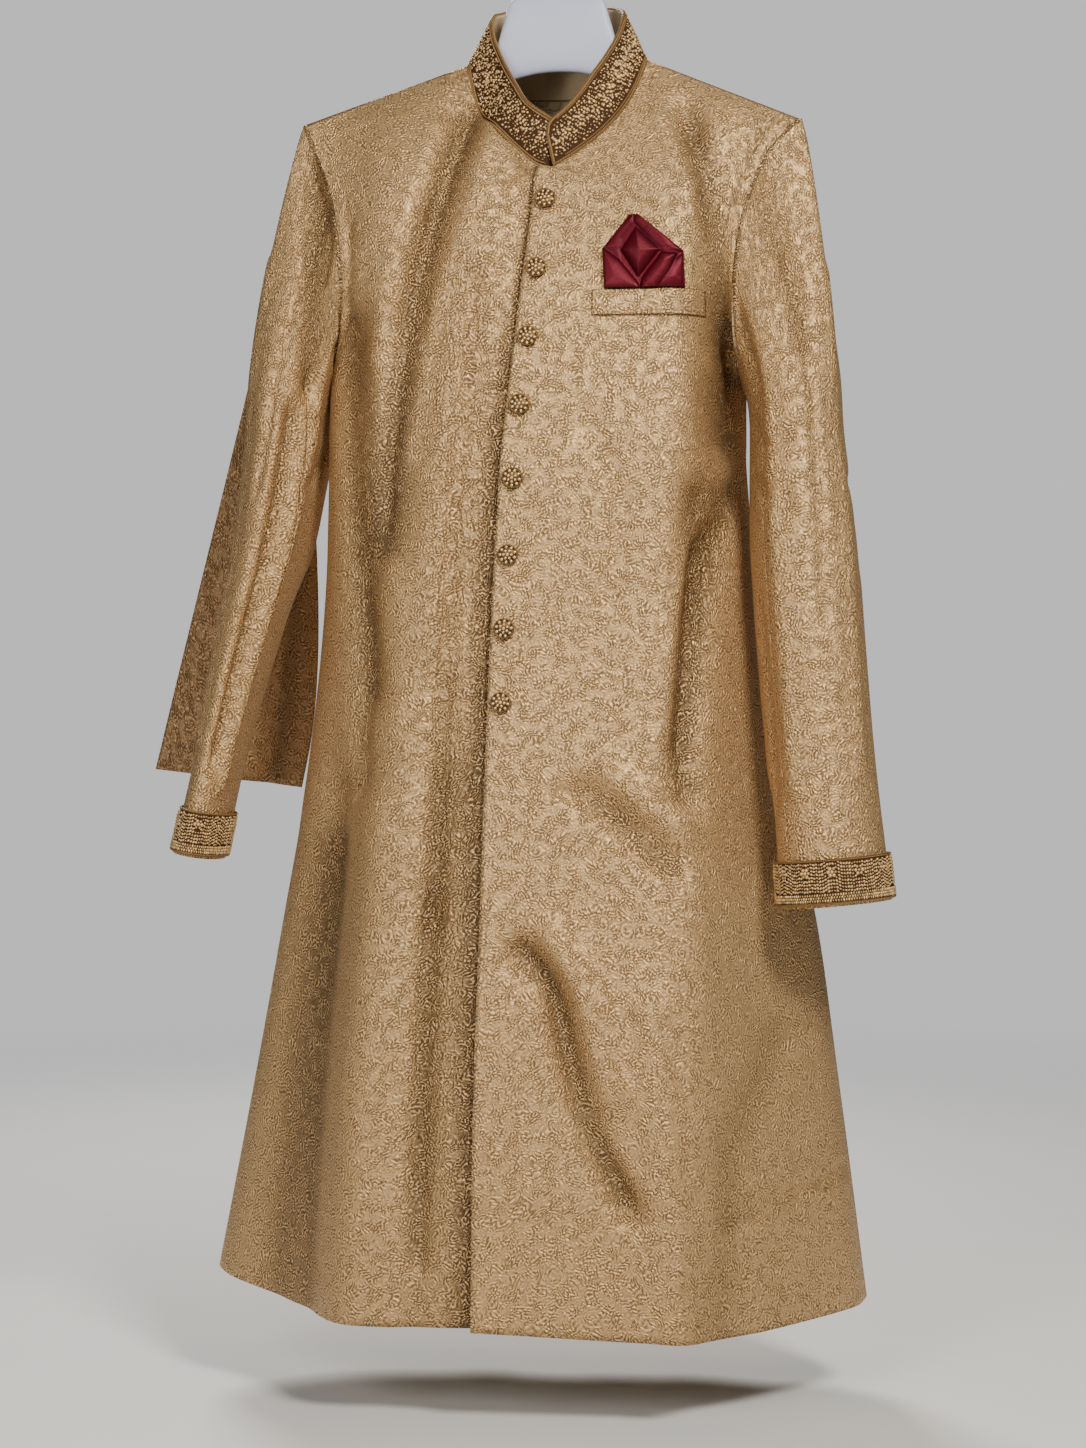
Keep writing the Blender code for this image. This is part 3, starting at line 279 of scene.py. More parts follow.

Section = namedtuple("Section", "drop edge_x front_y corner_x corner_y side_x side_y")
RIGHT_SECTIONS = (
    Section(0.36, -0.034, -0.110, -0.150, -0.100, -0.2040, -0.004),
    Section(0.47, -0.040, -0.113, -0.145, -0.103, -0.2080, 0.000),
    Section(0.56, -0.0435, -0.118, -0.135, -0.112, -0.2165, 0.002),
    Section(0.65, -0.0455, -0.128, -0.127, -0.124, -0.2290, 0.005),
    Section(0.75, -0.047, -0.140, -0.130, -0.134, -0.2480, 0.012),
    Section(0.90, -0.050, -0.155, -0.147, -0.144, -0.2770, 0.022),
    Section(1.11, -0.051, -0.165, -0.157, -0.150, -0.3200, 0.032),
)
LEFT_SECTIONS = (
    Section(0.36, -0.034, -0.110, 0.124, -0.100, 0.1670, 0.024),
    Section(0.47, -0.040, -0.113, 0.126, -0.102, 0.1760, 0.024),
    Section(0.56, -0.0435, -0.118, 0.128, -0.108, 0.1880, 0.024),
    Section(0.65, -0.0455, -0.128, 0.128, -0.119, 0.2030, 0.024),
    Section(0.75, -0.047, -0.140, 0.133, -0.131, 0.2265, 0.026),
    Section(0.90, -0.050, -0.155, 0.137, -0.144, 0.2480, 0.028),
    Section(1.11, -0.051, -0.165, 0.1355, -0.155, 0.2750, 0.032),
)
BackSection = namedtuple("BackSection", "drop back_y right_corner_x left_corner_x")
BACK_SECTIONS = (
    BackSection(0.36, 0.100, -0.150, 0.132),
    BackSection(0.47, 0.098, -0.150, 0.135),
    BackSection(0.56, 0.100, -0.155, 0.142),
    BackSection(0.65, 0.106, -0.164, 0.150),
    BackSection(0.75, 0.114, -0.178, 0.162),
    BackSection(0.90, 0.124, -0.200, 0.180),
    BackSection(1.11, 0.136, -0.235, 0.200),
)
BACK_CORNER_IN = 0.012  # the back's corners lie this far forward of its centre
SIDE_STRAIGHT = 0.030  # straight run on each side of a side seam
CORNER_EASE = 0.030  # over what stretch of cloth a section's corner is rounded
TUCK = 0.0085  # how far the right front dips beside the left front's edge
TUCK_WIDTH = 0.024
Rim = namedtuple("Rim", "x y drop")
UNDER_NECK = (Rim(0.020, -0.0540, 0.1090), Rim(0.005, -0.0550, 0.1060))
RIGHT_NECK = (
    Rim(-0.012, -0.0580, 0.1010),
    Rim(-0.030, -0.0520, 0.0840),
    Rim(-0.058, -0.0360, 0.0570),
    Rim(-0.0730, -0.0180, 0.0300),
    Rim(-0.0805, 0.0020, 0.0000),
)
LEFT_NECK = (
    Rim(-0.0094, -0.0605, 0.1050),
    Rim(0.006, -0.0600, 0.1035),
    Rim(0.0345, -0.0520, 0.0840),
    Rim(0.0600, -0.0360, 0.0560),
    Rim(0.0730, -0.0180, 0.0290),
    Rim(0.0800, 0.0020, 0.0000),
)
BACK_NECK = (
    Rim(-0.0805, 0.0020, 0.0000),
    Rim(-0.068, 0.0320, -0.0060),
    Rim(-0.035, 0.0570, -0.0095),
    Rim(0.000, 0.0640, -0.0100),
    Rim(0.035, 0.0570, -0.0095),
    Rim(0.068, 0.0320, -0.0060),
    Rim(0.0800, 0.0020, 0.0000),
)
RIGHT_ARMHOLE = (
    Rim(-0.2234, -0.022, 0.054),
    Rim(-0.2096, -0.034, 0.087),
    Rim(-0.1960, -0.045, 0.120),
    Rim(-0.1875, -0.055, 0.160),
    Rim(-0.1820, -0.060, 0.205),
    Rim(-0.1890, -0.045, 0.252),
    Rim(-0.2040, -0.004, 0.285),
)
LEFT_ARMHOLE = (
    Rim(0.2165, -0.022, 0.061),
    Rim(0.1925, -0.036, 0.086),
    Rim(0.1790, -0.045, 0.114),
    Rim(0.1675, -0.053, 0.152),
    Rim(0.1610, -0.060, 0.200),
    Rim(0.1590, -0.040, 0.252),
    Rim(0.1670, 0.024, 0.285),
)
RIGHT_BACK_ARMHOLE = (
    Rim(-0.2234, -0.022, 0.054),
    Rim(-0.2150, 0.006, 0.083),
    Rim(-0.2010, 0.034, 0.120),
    Rim(-0.1930, 0.052, 0.165),
    Rim(-0.1930, 0.056, 0.210),
    Rim(-0.1980, 0.038, 0.255),
    Rim(-0.2040, -0.004, 0.285),
)
LEFT_BACK_ARMHOLE = (
    Rim(0.2165, -0.022, 0.061),
    Rim(0.2040, 0.006, 0.090),
    Rim(0.1910, 0.034, 0.126),
    Rim(0.1810, 0.054, 0.170),
    Rim(0.1740, 0.060, 0.215),
    Rim(0.1680, 0.048, 0.255),
    Rim(0.1670, 0.024, 0.285),
)
HemPoint = namedtuple("HemPoint", "share drop")
RIGHT_HEM = (HemPoint(0.0, 1.0955), HemPoint(0.5, 1.0970), HemPoint(1.0, 1.0765))
LEFT_HEM = (HemPoint(0.0, 1.0988), HemPoint(0.55, 1.1060), HemPoint(1.0, 1.0970))
BACK_HEM = (HemPoint(0.0, 1.0770), HemPoint(0.5, 1.0980), HemPoint(1.0, 1.0960))
UNDER_SHARES = (0.0, 0.06, 0.115, 0.165, 0.215)  # columns of the right front under and by the edge
SEAM_FADE = 0.12  # folds die away over this share of a piece's width next to a seam
RELIEF_REST = 0.5  # the relief map's value where the cloth has no fold, in centimetres of height
RIGHT_PLUMB, LEFT_PLUMB = 70, 50  # the column of each front from which its weave runs straight
Fold = namedtuple("Fold", "height width path")


def folds_in_mm(*rows):
    """Folds from rows of height, width, and their path's points across and down from the neck."""
    return tuple(Fold(row[0] / 1000, row[1] / 1000, np.array(row[2:]) / 1000) for row in rows)


FRONT_FOLDS = folds_in_mm(
    (-10, 22, (-78, 50), (-98, 160), (-114, 270), (-137, 430)),
    (6, 20, (-52, 130), (-66, 260), (-86, 400), (-92, 520)),
    (-7, 18, (-172, 240), (-160, 380), (-150, 560)),
    (-8, 20, (122, 75), (134, 140), (150, 240), (158, 340)),
    (-10, 16, (138, 395), (131, 480), (122, 600), (127, 650)),
    (-8, 14, (45, 640), (72, 664), (113, 700)),
    (6, 13, (55, 622), (88, 650), (120, 668)),
    (-9, 15, (-10, 783), (18, 815), (38, 878), (81, 985)),
    (6, 14, (20, 775), (50, 830), (68, 900)),
    (-6, 18, (205, 850), (170, 945), (160, 1100)),
    (-9, 26, (-205, 700), (-225, 850), (-245, 1100)),
    (-6, 20, (-78, 640), (-92, 800), (-100, 1100)),
)
BACK_FOLDS = folds_in_mm(
    (-5, 22, (-108, 80), (-118, 230), (-124, 340)),
    (-4, 32, (-114, 160), (-126, 380), (-130, 560)),
    (-4, 22, (92, 70), (105, 210), (112, 310)),
    (-4, 30, (100, 150), (113, 360), (120, 530)),
    (-7, 22, (-20, 420), (-12, 560), (6, 700)),
    (8, 26, (-70, 620), (-88, 850), (-105, 1110)),
    (-10, 28, (-10, 760), (-18, 930), (-30, 1110)),
    (7, 24, (62, 660), (72, 880), (80, 1110)),
    (-9, 26, (130, 700), (140, 900), (152, 1110)),
)
CREASES = folds_in_mm(  # sharper creases inside the folds
    (-6, 10, (-73, 45), (-87, 105), (-104, 165), (-125, 250), (-144, 410)),
    (3.5, 9, (-50, 50), (-66, 120), (-83, 180), (-103, 260), (-118, 360)),
    (2.5, 10, (-100, 60), (-117, 130), (-135, 190), (-152, 270)),
    (-5, 9, (-58, 210), (-66, 310), (-76, 430), (-82, 560), (-88, 760)),
    (-5, 11, (-179, 150), (-184, 270), (-176, 390), (-160, 520), (-158, 640)),
    (7, 20, (-139, 664), (-152, 846), (-164, 1107)),
    (-7, 16, (-185, 640), (-196, 800), (-206, 950), (-212, 1100)),
    (-5, 10, (-90, 740), (-96, 900), (-98, 1040)),
    (-7, 13, (118, 50), (145, 110), (161, 185), (166, 280), (171, 385)),
    (3, 10, (96, 60), (122, 120), (138, 190), (143, 280)),
    (-6.5, 12, (166, 385), (143, 440), (134, 515), (125, 610)),
    (4, 7, (146, 400), (124, 450), (116, 520), (108, 600)),
    (-6, 7, (22, 645), (60, 668), (90, 702), (117, 716)),
    (4.5, 8, (35, 626), (70, 646), (100, 670), (122, 690)),
    (-7, 8, (-10, 775), (14, 804), (26, 860), (40, 920), (86, 1003)),
    (4.5, 9, (10, 770), (36, 810), (52, 880), (64, 930), (95, 985)),
    (6, 16, (98, 830), (112, 960), (124, 1104)),
    (-4.2, 5, (168, 1011), (215, 994), (262, 978)),
    (3, 4.5, (165, 1021), (215, 1004), (262, 988)),
    (-2.5, 5, (-62, 992), (-45, 1001), (-28, 1004)),
    (-3, 12, (40, 330), (72, 400), (60, 480)),
    (-3, 10, (-40, 60), (-30, 110), (-26, 180)),
)
BACK_CREASES = folds_in_mm(
    (-3.5, 13, (-55, 30), (-94, 130), (-118, 260), (-128, 420), (-130, 600)),
    (3, 9, (-40, 60), (-70, 160), (-94, 280)),
    (-3.5, 13, (55, 35), (86, 140), (108, 290), (116, 460), (128, 640)),
    (-3, 6, (-110, 455), (-50, 440), (10, 452), (75, 436)),
    (2.5, 6, (-100, 472), (-45, 458), (10, 470)),
    (-6, 10, (40, 700), (34, 850), (30, 1095)),
    (5, 12, (-140, 640), (-158, 850), (-176, 1080)),
    (-6, 10, (-50, 700), (-60, 900), (-66, 1095)),
    (5, 13, (178, 640), (192, 850), (208, 1080)),
    (-4, 8, (-150, 560), (-90, 600), (-30, 615)),
)
WRINKLED = folds_in_mm(  # where the cloth is crumpled, and how much, in thousandths
    (1000, 22, (-58, 200), (-68, 320), (-80, 520), (-86, 760), (-94, 980)),
    (800, 20, (-166, 400), (-158, 640)),
    (900, 20, (150, 400), (128, 500), (118, 640)),
    (600, 26, (60, 660), (112, 710)),
    (600, 20, (-105, 140), (-140, 360)),
    (400, 30, (0, 800), (60, 960)),
)


def eased(at, knots, values):
    """A smooth curve through (knots, values), read at one or more places."""
    knots = np.asarray(knots, float)
    values = np.asarray(values, float)
    at = np.clip(np.atleast_1d(at), knots[0], knots[-1])
    slope = np.gradient(values, knots, axis=0)
    i = np.clip(np.searchsorted(knots, at, side="right") - 1, 0, len(knots) - 2)
    step = (knots[i + 1] - knots[i])[:, None]
    t = (at[:, None] - knots[i][:, None]) / step
    start, end = values[i], values[i + 1]
    return (
        (1 + 2 * t) * (1 - t) ** 2 * start
        + t * (1 - t) ** 2 * step * slope[i]
        + t * t * (3 - 2 * t) * end
        + t * t * (t - 1) * step * slope[i + 1]
    )


def row_at(table, drop):
    """The table's other columns at a drop, as an array."""
    rows = np.array(table)
    return eased(drop, rows[:, 0], rows[:, 1:])[0]


def reach_along(points):
    """How far along its line each point lies."""
    return np.concatenate([[0.0], np.cumsum(np.linalg.norm(np.diff(points, axis=0), axis=1))])


def path_points(points, count):
    """Points spread evenly along a smooth path."""
    points = np.array(points, float)
    reach = reach_along(points)
    return eased(np.linspace(0.0, 1.0, count) * reach[-1], reach, points)


def rounded(corners, ease, shares):
    """Points at shares of the length of a line whose corners are eased."""
    corners = np.array(corners, float)
    legs = np.diff(corners, axis=0)
    lengths = np.linalg.norm(legs, axis=1)
    headings = legs / lengths[:, None]
    at = np.asarray(shares)[:, None] * lengths.sum()
    points = corners[0] + headings[0] * at
    for bend, turn in zip(np.cumsum(lengths)[:-1], np.diff(headings, axis=0)):
        past = at - bend
        near = np.clip(past + ease, 0.0, 2 * ease) ** 2 / (4 * ease)
        points = points + turn * np.where(past > ease, past, near)
    return points


def hung(start, leave, end, arrive, rows):
    """Rows of points on smooth columns from start to end, with the given directions."""
    t = np.linspace(0.0, 1.0, rows)[:, None, None]
    return (
        (1 + 2 * t) * (1 - t) ** 2 * start
        + t * (1 - t) ** 2 * leave
        + t * t * (3 - 2 * t) * end
        + t * t * (t - 1) * arrive
    )


def normals_of(grid, facing):
    normal = np.cross(np.gradient(grid, axis=1), np.gradient(grid, axis=0))
    normal /= np.maximum(np.linalg.norm(normal, axis=2, keepdims=True), 1e-12)
    return normal if (normal * facing).sum() > 0 else -normal


def fold_height(x, drop, folds):
    """How far the folds push the cloth out at each x, drop."""
    spot = np.stack([x, drop], axis=-1)
    height = np.zeros_like(x)
    for fold in folds:
        nearest = np.full_like(x, np.inf)
        for start, end in zip(fold.path, fold.path[1:]):
            leg = np.subtract(end, start)
            share = np.clip(((spot - start) @ leg) / (leg @ leg), 0.0, 1.0)
            gap = np.linalg.norm(spot - start - share[..., None] * leg, axis=-1)
            nearest = np.minimum(nearest, gap)
        height += fold.height * np.exp(-((nearest / fold.width) ** 2))
    return height


def faded_height(grid, folds, to_seam):
    fade = np.clip(np.asarray(to_seam) / SEAM_FADE, 0.0, 1.0)
    return fold_height(grid[..., 0], grid[..., 2], folds) * (3 - 2 * fade) * fade**2


def folded(grid, folds, facing, to_seam):
    """The grid with its folds, which die away as to_seam, a share of the width, nears 0."""
    outward = normals_of(grid * (1, 1, -1), facing) * (1, 1, -1)
    return grid + outward * faded_height(grid, folds, to_seam)[..., None]


def in_world(grid):
    """The same points with z in place of the drop."""
    return np.stack([grid[..., 0], grid[..., 1], NECK_Z - grid[..., 2]], axis=-1)


def unit(vectors):
    return vectors / np.linalg.norm(vectors, axis=-1, keepdims=True)


def front_line(table, drop, under):
    """Corners of one front's section; the right front starts under the left one's edge."""
    edge_x, front_y, corner_x, corner_y, side_x, side_y = row_at(table, drop)
    side = [(corner_x, corner_y), (side_x, side_y - SIDE_STRAIGHT), (side_x, side_y)]
    if not under:
        return [(edge_x, front_y)] + side
    dip = (edge_x - TUCK_WIDTH / 2, front_y + TUCK)
    rise = (edge_x - 2 * TUCK_WIDTH, 0.7 * front_y + 0.3 * corner_y)
    return [(edge_x + OVERLAP, front_y + TUCK / 2), dip, rise] + side


def back_line(drop):
    """Corners of the back's section; below the slits it stands a little inside the fronts."""
    back_y, right_x, left_x = row_at(BACK_SECTIONS, drop)
    right = Section(drop, *row_at(RIGHT_SECTIONS, drop))
    left = Section(drop, *row_at(LEFT_SECTIONS, drop))
    apart = SLIT_GAP * np.clip((drop - SLIT_DROP) / 0.02, 0.0, 1.0)
    return [
        (right.side_x + apart, right.side_y + SEAM + apart),
        (right.side_x + apart, right.side_y + SIDE_STRAIGHT),
        (right_x, back_y - BACK_CORNER_IN),
        (0.0, back_y),
        (left_x, back_y - BACK_CORNER_IN),
        (left.side_x - apart, left.side_y + SIDE_STRAIGHT),
        (left.side_x - apart, left.side_y + SEAM + apart),
    ]


def level(line, drops, shares):
    """One row of points: each at its own share of the section at its own drop."""
    spots = [rounded(line(drop), CORNER_EASE, [share])[0] for drop, share in zip(drops, shares)]
    return np.column_stack([spots, drops])


def upper_part(top, near, far, shares, line, y_sign, pull):
    """Cloth hung from its top edge to the chest, whose two sides follow the near and far edges."""
    chest = level(line, np.full(len(shares), CHEST_DROP), shares)
    height = (chest[:, 2] - top[:, 2])[:, None]
    leave = np.array([0.0, 0.0, FALL]) * height
    leave[:, 1] = LEAN * (chest[:, 1] - top[:, 1])
    arrive = np.array([0.0, y_sign * 0.05, 1.0]) * height
    base = hung(top, leave, chest, arrive, len(near))
    across = np.asarray(shares)[None, :, None]
    pull_near = (1 - across) ** pull * (near[:, None] - base[:, :1])
    pull_far = across**pull * (far[:, None] - base[:, -1:])
    return base + pull_near + pull_far


def lower_part(shares, hem, line):
    """Rows of cloth from below the chest down to the hem."""
    rows = np.array(hem)
    fall = eased(shares, rows[:, 0], rows[:, 1:])[:, 0] - CHEST_DROP
    steps = np.linspace(0.0, 1.0, LOWER_ROWS + 1)[1:]
    return np.array([level(line, CHEST_DROP + fall * step, shares) for step in steps])


def joined(*stretches):
    """Stretches of points run together, each shared end kept once."""
    return np.concatenate([stretches[0]] + [stretch[1:] for stretch in stretches[1:]])


def down_line(line, share, first_drop, count):
    """Points straight down a body edge, from a drop to the chest."""
    drops = np.linspace(first_drop, CHEST_DROP, count)
    return level(line, drops, np.full(count, share))


def armhole_edge(armhole, line, share):
    """The edge from the shoulder's tip down the armhole and on down the side seam."""
    hole = path_points(armhole, ARMHOLE_ROWS)
    seam = down_line(line, share, armhole[-1].drop, UPPER_ROWS - ARMHOLE_ROWS + 1)
    return np.concatenate([hole[:-1], seam])


def neck_edge(ring, line):
    """The edge from the side of the neck down the neckline and on down the front edge."""
    top_front = level(line, [CHEST_DROP], [0.0])[0]
    drops = np.linspace(ring[-1][2], CHEST_DROP, UPPER_ROWS - NECK_ROWS + 1)
    way = ((drops - drops[0]) / (drops[-1] - drops[0]))[:, None]
    edge = ring[-1] + (top_front - ring[-1]) * way
    edge[:, 1] -= FRONT_BELLY * np.sin(math.pi * way[:, 0])
    return joined(ring, edge)


def inset_top(top, y_sign):
    """The shoulder edge moved into its cloth, so that front and back stay apart."""
    return top + np.array([0.0, y_sign * SEAM / 2, 0.0])


def finer(grid, across=FINER, down=FINER):
    """The same surface with more rows and columns."""
    rows, columns = grid.shape[:2]
    at = np.linspace(0, rows - 1, (rows - 1) * down + 1)
    more = eased(at, np.arange(rows), grid.reshape(rows, -1)).reshape(len(at), columns, -1)
    more = more.transpose(1, 0, 2)
    at = np.linspace(0, columns - 1, (columns - 1) * across + 1)
    more = eased(at, np.arange(columns), more.reshape(columns, -1))
    return more.reshape(len(at), -1, grid.shape[2]).transpose(1, 0, 2)


def finer_shares(shares):
    return finer(np.array([shares, shares])[..., None], FINER, 1)[0, :, 0]


def front_flat(ring, armhole, shares, line, hem):
    """A front's cloth before its folds, as x, y and drop."""
    top = inset_top(eased(shares, [0.0, 1.0], np.array([ring[0], armhole[0]])), -1.0)
    near = neck_edge(ring, line)
    far = armhole_edge(armhole, line, 1.0)
    near[0], far[0] = top[0], top[-1]
    upper = upper_part(top, near, far, shares, line, -1.0, FRONT_PULL)
    return np.concatenate([upper, lower_part(shares, hem, line)])


def cloth_lengths(grid, level_row=0, straight_column=0):
    """Cloth coordinates: metres along each row and down each column, from one row and column."""
    along = np.linalg.norm(np.diff(grid, axis=1), axis=2).cumsum(axis=1)
    down = np.linalg.norm(np.diff(grid, axis=0), axis=2).cumsum(axis=0)
    rows, columns = grid.shape[:2]
    across = np.concatenate([np.zeros((rows, 1)), along], axis=1)
    below = np.concatenate([np.zeros((1, columns)), down], axis=0)
    across -= across[:, straight_column, None]
    below -= below[level_row]
    return np.stack([across, -below], axis=-1)


def shell(name, outer, inner, facing, finish, cloth, relief=None, around=False, lining=None):
    """A closed wall between two grids, with cloth coordinates and the folds' relief on it."""
    rows, columns = outer.shape[:2]
    index = np.arange(rows * columns).reshape(rows, columns)
    quads = [index[:-1, :-1], index[:-1, 1:], index[1:, 1:], index[1:, :-1]]
    quads = np.stack(quads, axis=-1).reshape(-1, 4)
    corners = outer.reshape(-1, 3)[quads]
    normals = np.cross(corners[:, 2] - corners[:, 0], corners[:, 3] - corners[:, 1])
    if (normals * facing(corners.mean(axis=1))).sum() < 0:
        quads = quads[:, ::-1]
    taken = {tuple(pair) for pair in quads[:, [[0, 1], [1, 2], [2, 3], [3, 0]]].reshape(-1, 2)}
    rims = []
    for line in [index[0], index[-1]] + ([] if around else [index[:, 0], index[:, -1]]):
        for first, second in zip(line, line[1:]):
            if (first, second) in taken:
                first, second = second, first
            rims.append((first, second, second + rows * columns, first + rows * columns))
    behind = quads[:, ::-1] + rows * columns
    faces = np.concatenate([quads, behind, np.array(rims)])
    mesh = bpy.data.meshes.new(name)
    points = np.concatenate([outer.reshape(-1, 3), inner.reshape(-1, 3)])
    mesh.from_pydata(points.tolist(), [], faces.tolist())
    smooth = np.ones(len(faces), bool)
    smooth[2 * len(quads) :] = False
    mesh.polygons.foreach_set("use_smooth", smooth)
    if relief is None:
        relief = np.full_like(cloth, RELIEF_REST) * (1.0, 0.3)
    for map_name, values in (("cloth", cloth), ("relief", relief)):
        coordinates = np.concatenate([values.reshape(-1, 2)] * 2)[faces.reshape(-1)]
        mesh.uv_layers.new(name=map_name).data.foreach_set("uv", coordinates.reshape(-1))
    if around:
        welded = bmesh.new()
        welded.from_mesh(mesh)
        bmesh.ops.remove_doubles(welded, verts=welded.verts, dist=1e-6)
        welded.to_mesh(mesh)
        welded.free()
    mesh.materials.append(finish)
    if lining:
        mesh.materials.append(lining)
        inside = np.zeros(len(mesh.polygons), int)
        inside[len(quads) : 2 * len(quads)] = 1
        mesh.polygons.foreach_set("material_index", inside)
    return placed(name, mesh)


def relief_of(flat, folds, to_seam):
    """For each point its folds' height in centimetres from RELIEF_REST, and how crumpled it is."""
    height = faded_height(flat, folds, to_seam)
    crumpled = np.clip(fold_height(flat[..., 0], flat[..., 2], WRINKLED), 0.0, 1.0)
    return np.stack([height * 100.0 + RELIEF_REST, crumpled], axis=-1)


def surface_of(piece):
    bpy.context.view_layer.update()
    return BVHTree.FromObject(piece, bpy.context.evaluated_depsgraph_get())


def met_from_front(surface, x, z):
    """Where a line from the front first meets the surface, and which way it faces there."""
    return surface.ray_cast(Vector((x, -1.0, z)), Vector((0.0, 1.0, 0.0)))[:2]


def tucked_under(grid, cover, clearance):
    """The grid with each point that lies behind the cover kept this far behind its outer side."""
    tucked = grid.copy()
    for place in np.ndindex(grid.shape[:2]):
        x, y, z = grid[place]
        hit = met_from_front(cover, x, z)[0]
        if hit is not None and y < hit.y + clearance:
            tucked[place][1] = hit.y + clearance
    return tucked


def shoulder_out(neck_side, tip):
    """Up and out from a shoulder seam, at right angles to it."""
    fall = tip.drop - neck_side.drop
    run = tip.x - neck_side.x
    return unit(np.array([fall * np.sign(run), 0.0, abs(run)]))


def toned(colour, share):
    """The colour made darker or lighter."""
    return tuple(share * part for part in colour)


def brocade(name, thread, groove_shade):
    """Silk brocade: short curved strokes wound about small medallions, on a pebbled ground; its
    grooves and dips are darkened as painted shade and its crests lightened as painted highlight.
    """
    cloth = Finish(name)
    spot = cloth.on_map("cloth")
    # The ground sways, so that no line of the pattern is straight.
    sway = cloth.grain(spot, 75.0, 1.0, "Color")
    centred = cloth.vector("SUBTRACT", sway, (0.5, 0.5, 0.5))
    moved = cloth.vector("MULTIPLY_ADD", centred, (0.010, 0.010, 0.0), spot)
    # Strokes wander over the ground and wind about the middle of each medallion.
    cells = {"Vector": moved, "Scale": 1 / MEDALLION, "Randomness": 0.95}
    centre = cloth.node("ShaderNodeTexVoronoi", {}, cells, "Position")
    offset = cloth.vector("SUBTRACT", moved, centre)
    off_x, off_y = cloth.part(offset, "X"), cloth.part(offset, "Y")
    away = cloth.length(offset)
    spiral = (away * (2 * math.pi / STROKE) + off_y.math("ARCTAN2", off_x)).math("COSINE")
    ringed = cloth.between(away, 0.42 * MEDALLION, 0.20 * MEDALLION) * 0.7
    strokes = {"Vector": moved, "Scale": 0.5 / STROKE, "Frequency": 2.0, "Anisotropy": 0.0}
    phase = cloth.node("ShaderNodeTexGabor", {}, strokes, "Phase")
    swell = (phase * (2 * math.pi)).math("COSINE")
    swell = swell + (spiral - swell) * ringed
    kept = cloth.between(cloth.grain(spot, 110.0, 1.0), 0.34, 0.58) * 0.8 + 0.2
    line = cloth.between(swell, 0.05, 0.85) * kept
    painted_crest_highlight = cloth.between(swell, -0.1, -0.9) * kept
    pebble = cloth.node("ShaderNodeTexVoronoi", {}, {"Vector": moved, "Scale": 560.0})
    # Painted shade: where the relief map says the cloth lies low it is darkened, and crumpled cloth
    # breaks into lines that run mostly up and down, bumped and also darkened as painted shade.
    height, crumpled = [cloth.part(cloth.on_map("relief"), axis) for axis in ("X", "Y")]
    swayed = cloth.vector("SCALE", sway, (0, 0, 0), 2.2)
    long_way = cloth.vector("MULTIPLY_ADD", spot, (150.0, 17.0, 0.0), swayed)
    crumple = (cloth.grain(long_way, 1.0, 1.5) - 0.5).math("ABSOLUTE")
    crumple = (1 - crumple * 5.0).math("MAXIMUM", 0.0) * crumpled
    patch = cloth.between(cloth.grain(spot, 14.0, 3.0), 0.3, 0.7)
    tone = cloth.mixed(patch * 0.30, thread, toned(thread, 0.80))
    # painted shade in the folds' hollows and beside edges and seams
    tone = cloth.mixed(cloth.between(height, 0.40, -0.90) * 0.85, tone, toned(thread, 0.20))
    # painted shade in the crumpled lines
    tone = cloth.mixed(crumple * crumple * 0.45, tone, groove_shade)
    # painted shade in the dips of the pebbled ground
    tone = cloth.mixed(cloth.between(pebble, 0.3, 0.8) * 0.30, tone, groove_shade)
    # painted highlight on the crests of the strokes
    tone = cloth.mixed(painted_crest_highlight * 0.65, tone, toned(thread, 1.50))
    cloth.raised(1.0 - swell * kept * 0.5 - pebble * 0.3 - crumple * 1.6, WEAVE_DEPTH)
    # the strokes' grooves take the painted shade colour
    return cloth.set(
        base_color=cloth.mixed(line * 0.62, tone, groove_shade),
        roughness=0.47 + line * 0.2,
        metallic=0.60,
        specular_ior_level=0.25,
    )


def lining_finish():
    """Fawn satin that faces the inside, quilted below a seam at the back of the neck; its colour is
    lightened as painted light and its quilting's grooves are darkened as painted shade.
    """
    satin = Finish("fawn_lining")
    spot = satin.on_piece()
    height = satin.part(spot, "Z")
    seam = satin.between((height - LINING_SEAM_Z).math("ABSOLUTE"), 0.0011, 0.0004)
    cells = {"Vector": spot, "Scale": 95.0}
    edge = satin.node("ShaderNodeTexVoronoi", {"feature": "DISTANCE_TO_EDGE"}, cells, "Distance")
    below = satin.between(height, LINING_SEAM_Z, LINING_SEAM_Z - 0.001)
    quilted = satin.between(edge, 0.0, 0.16) * below
    weave = satin.grain(spot, 650.0, 2.0)
    groove_shade = satin.between(edge, 0.10, 0.0) * below
    tone = satin.mixed(weave * 0.5, LINING_LIT_COLOUR, toned(LINING_LIT_COLOUR, 0.7))
    # painted shade in the quilting's grooves
    tone = satin.mixed(groove_shade * 0.35, tone, toned(LINING_LIT_COLOUR, 0.4))
    colour = satin.mixed(seam * 0.8, tone, toned(LINING_LIT_COLOUR, 0.25))
    satin.raised(quilted + weave * 0.1 - seam, 0.0012)
    return satin.set(base_color=colour, roughness=0.5 + weave * 0.2, specular_ior_level=0.3)


coat_brocade = brocade("gold_brocade", *CLOTH_COLOURS)
fawn_lining = lining_finish()


def right_line(drop):
    return front_line(RIGHT_SECTIONS, drop, under=True)


def left_line(drop):
    return front_line(LEFT_SECTIONS, drop, under=False)


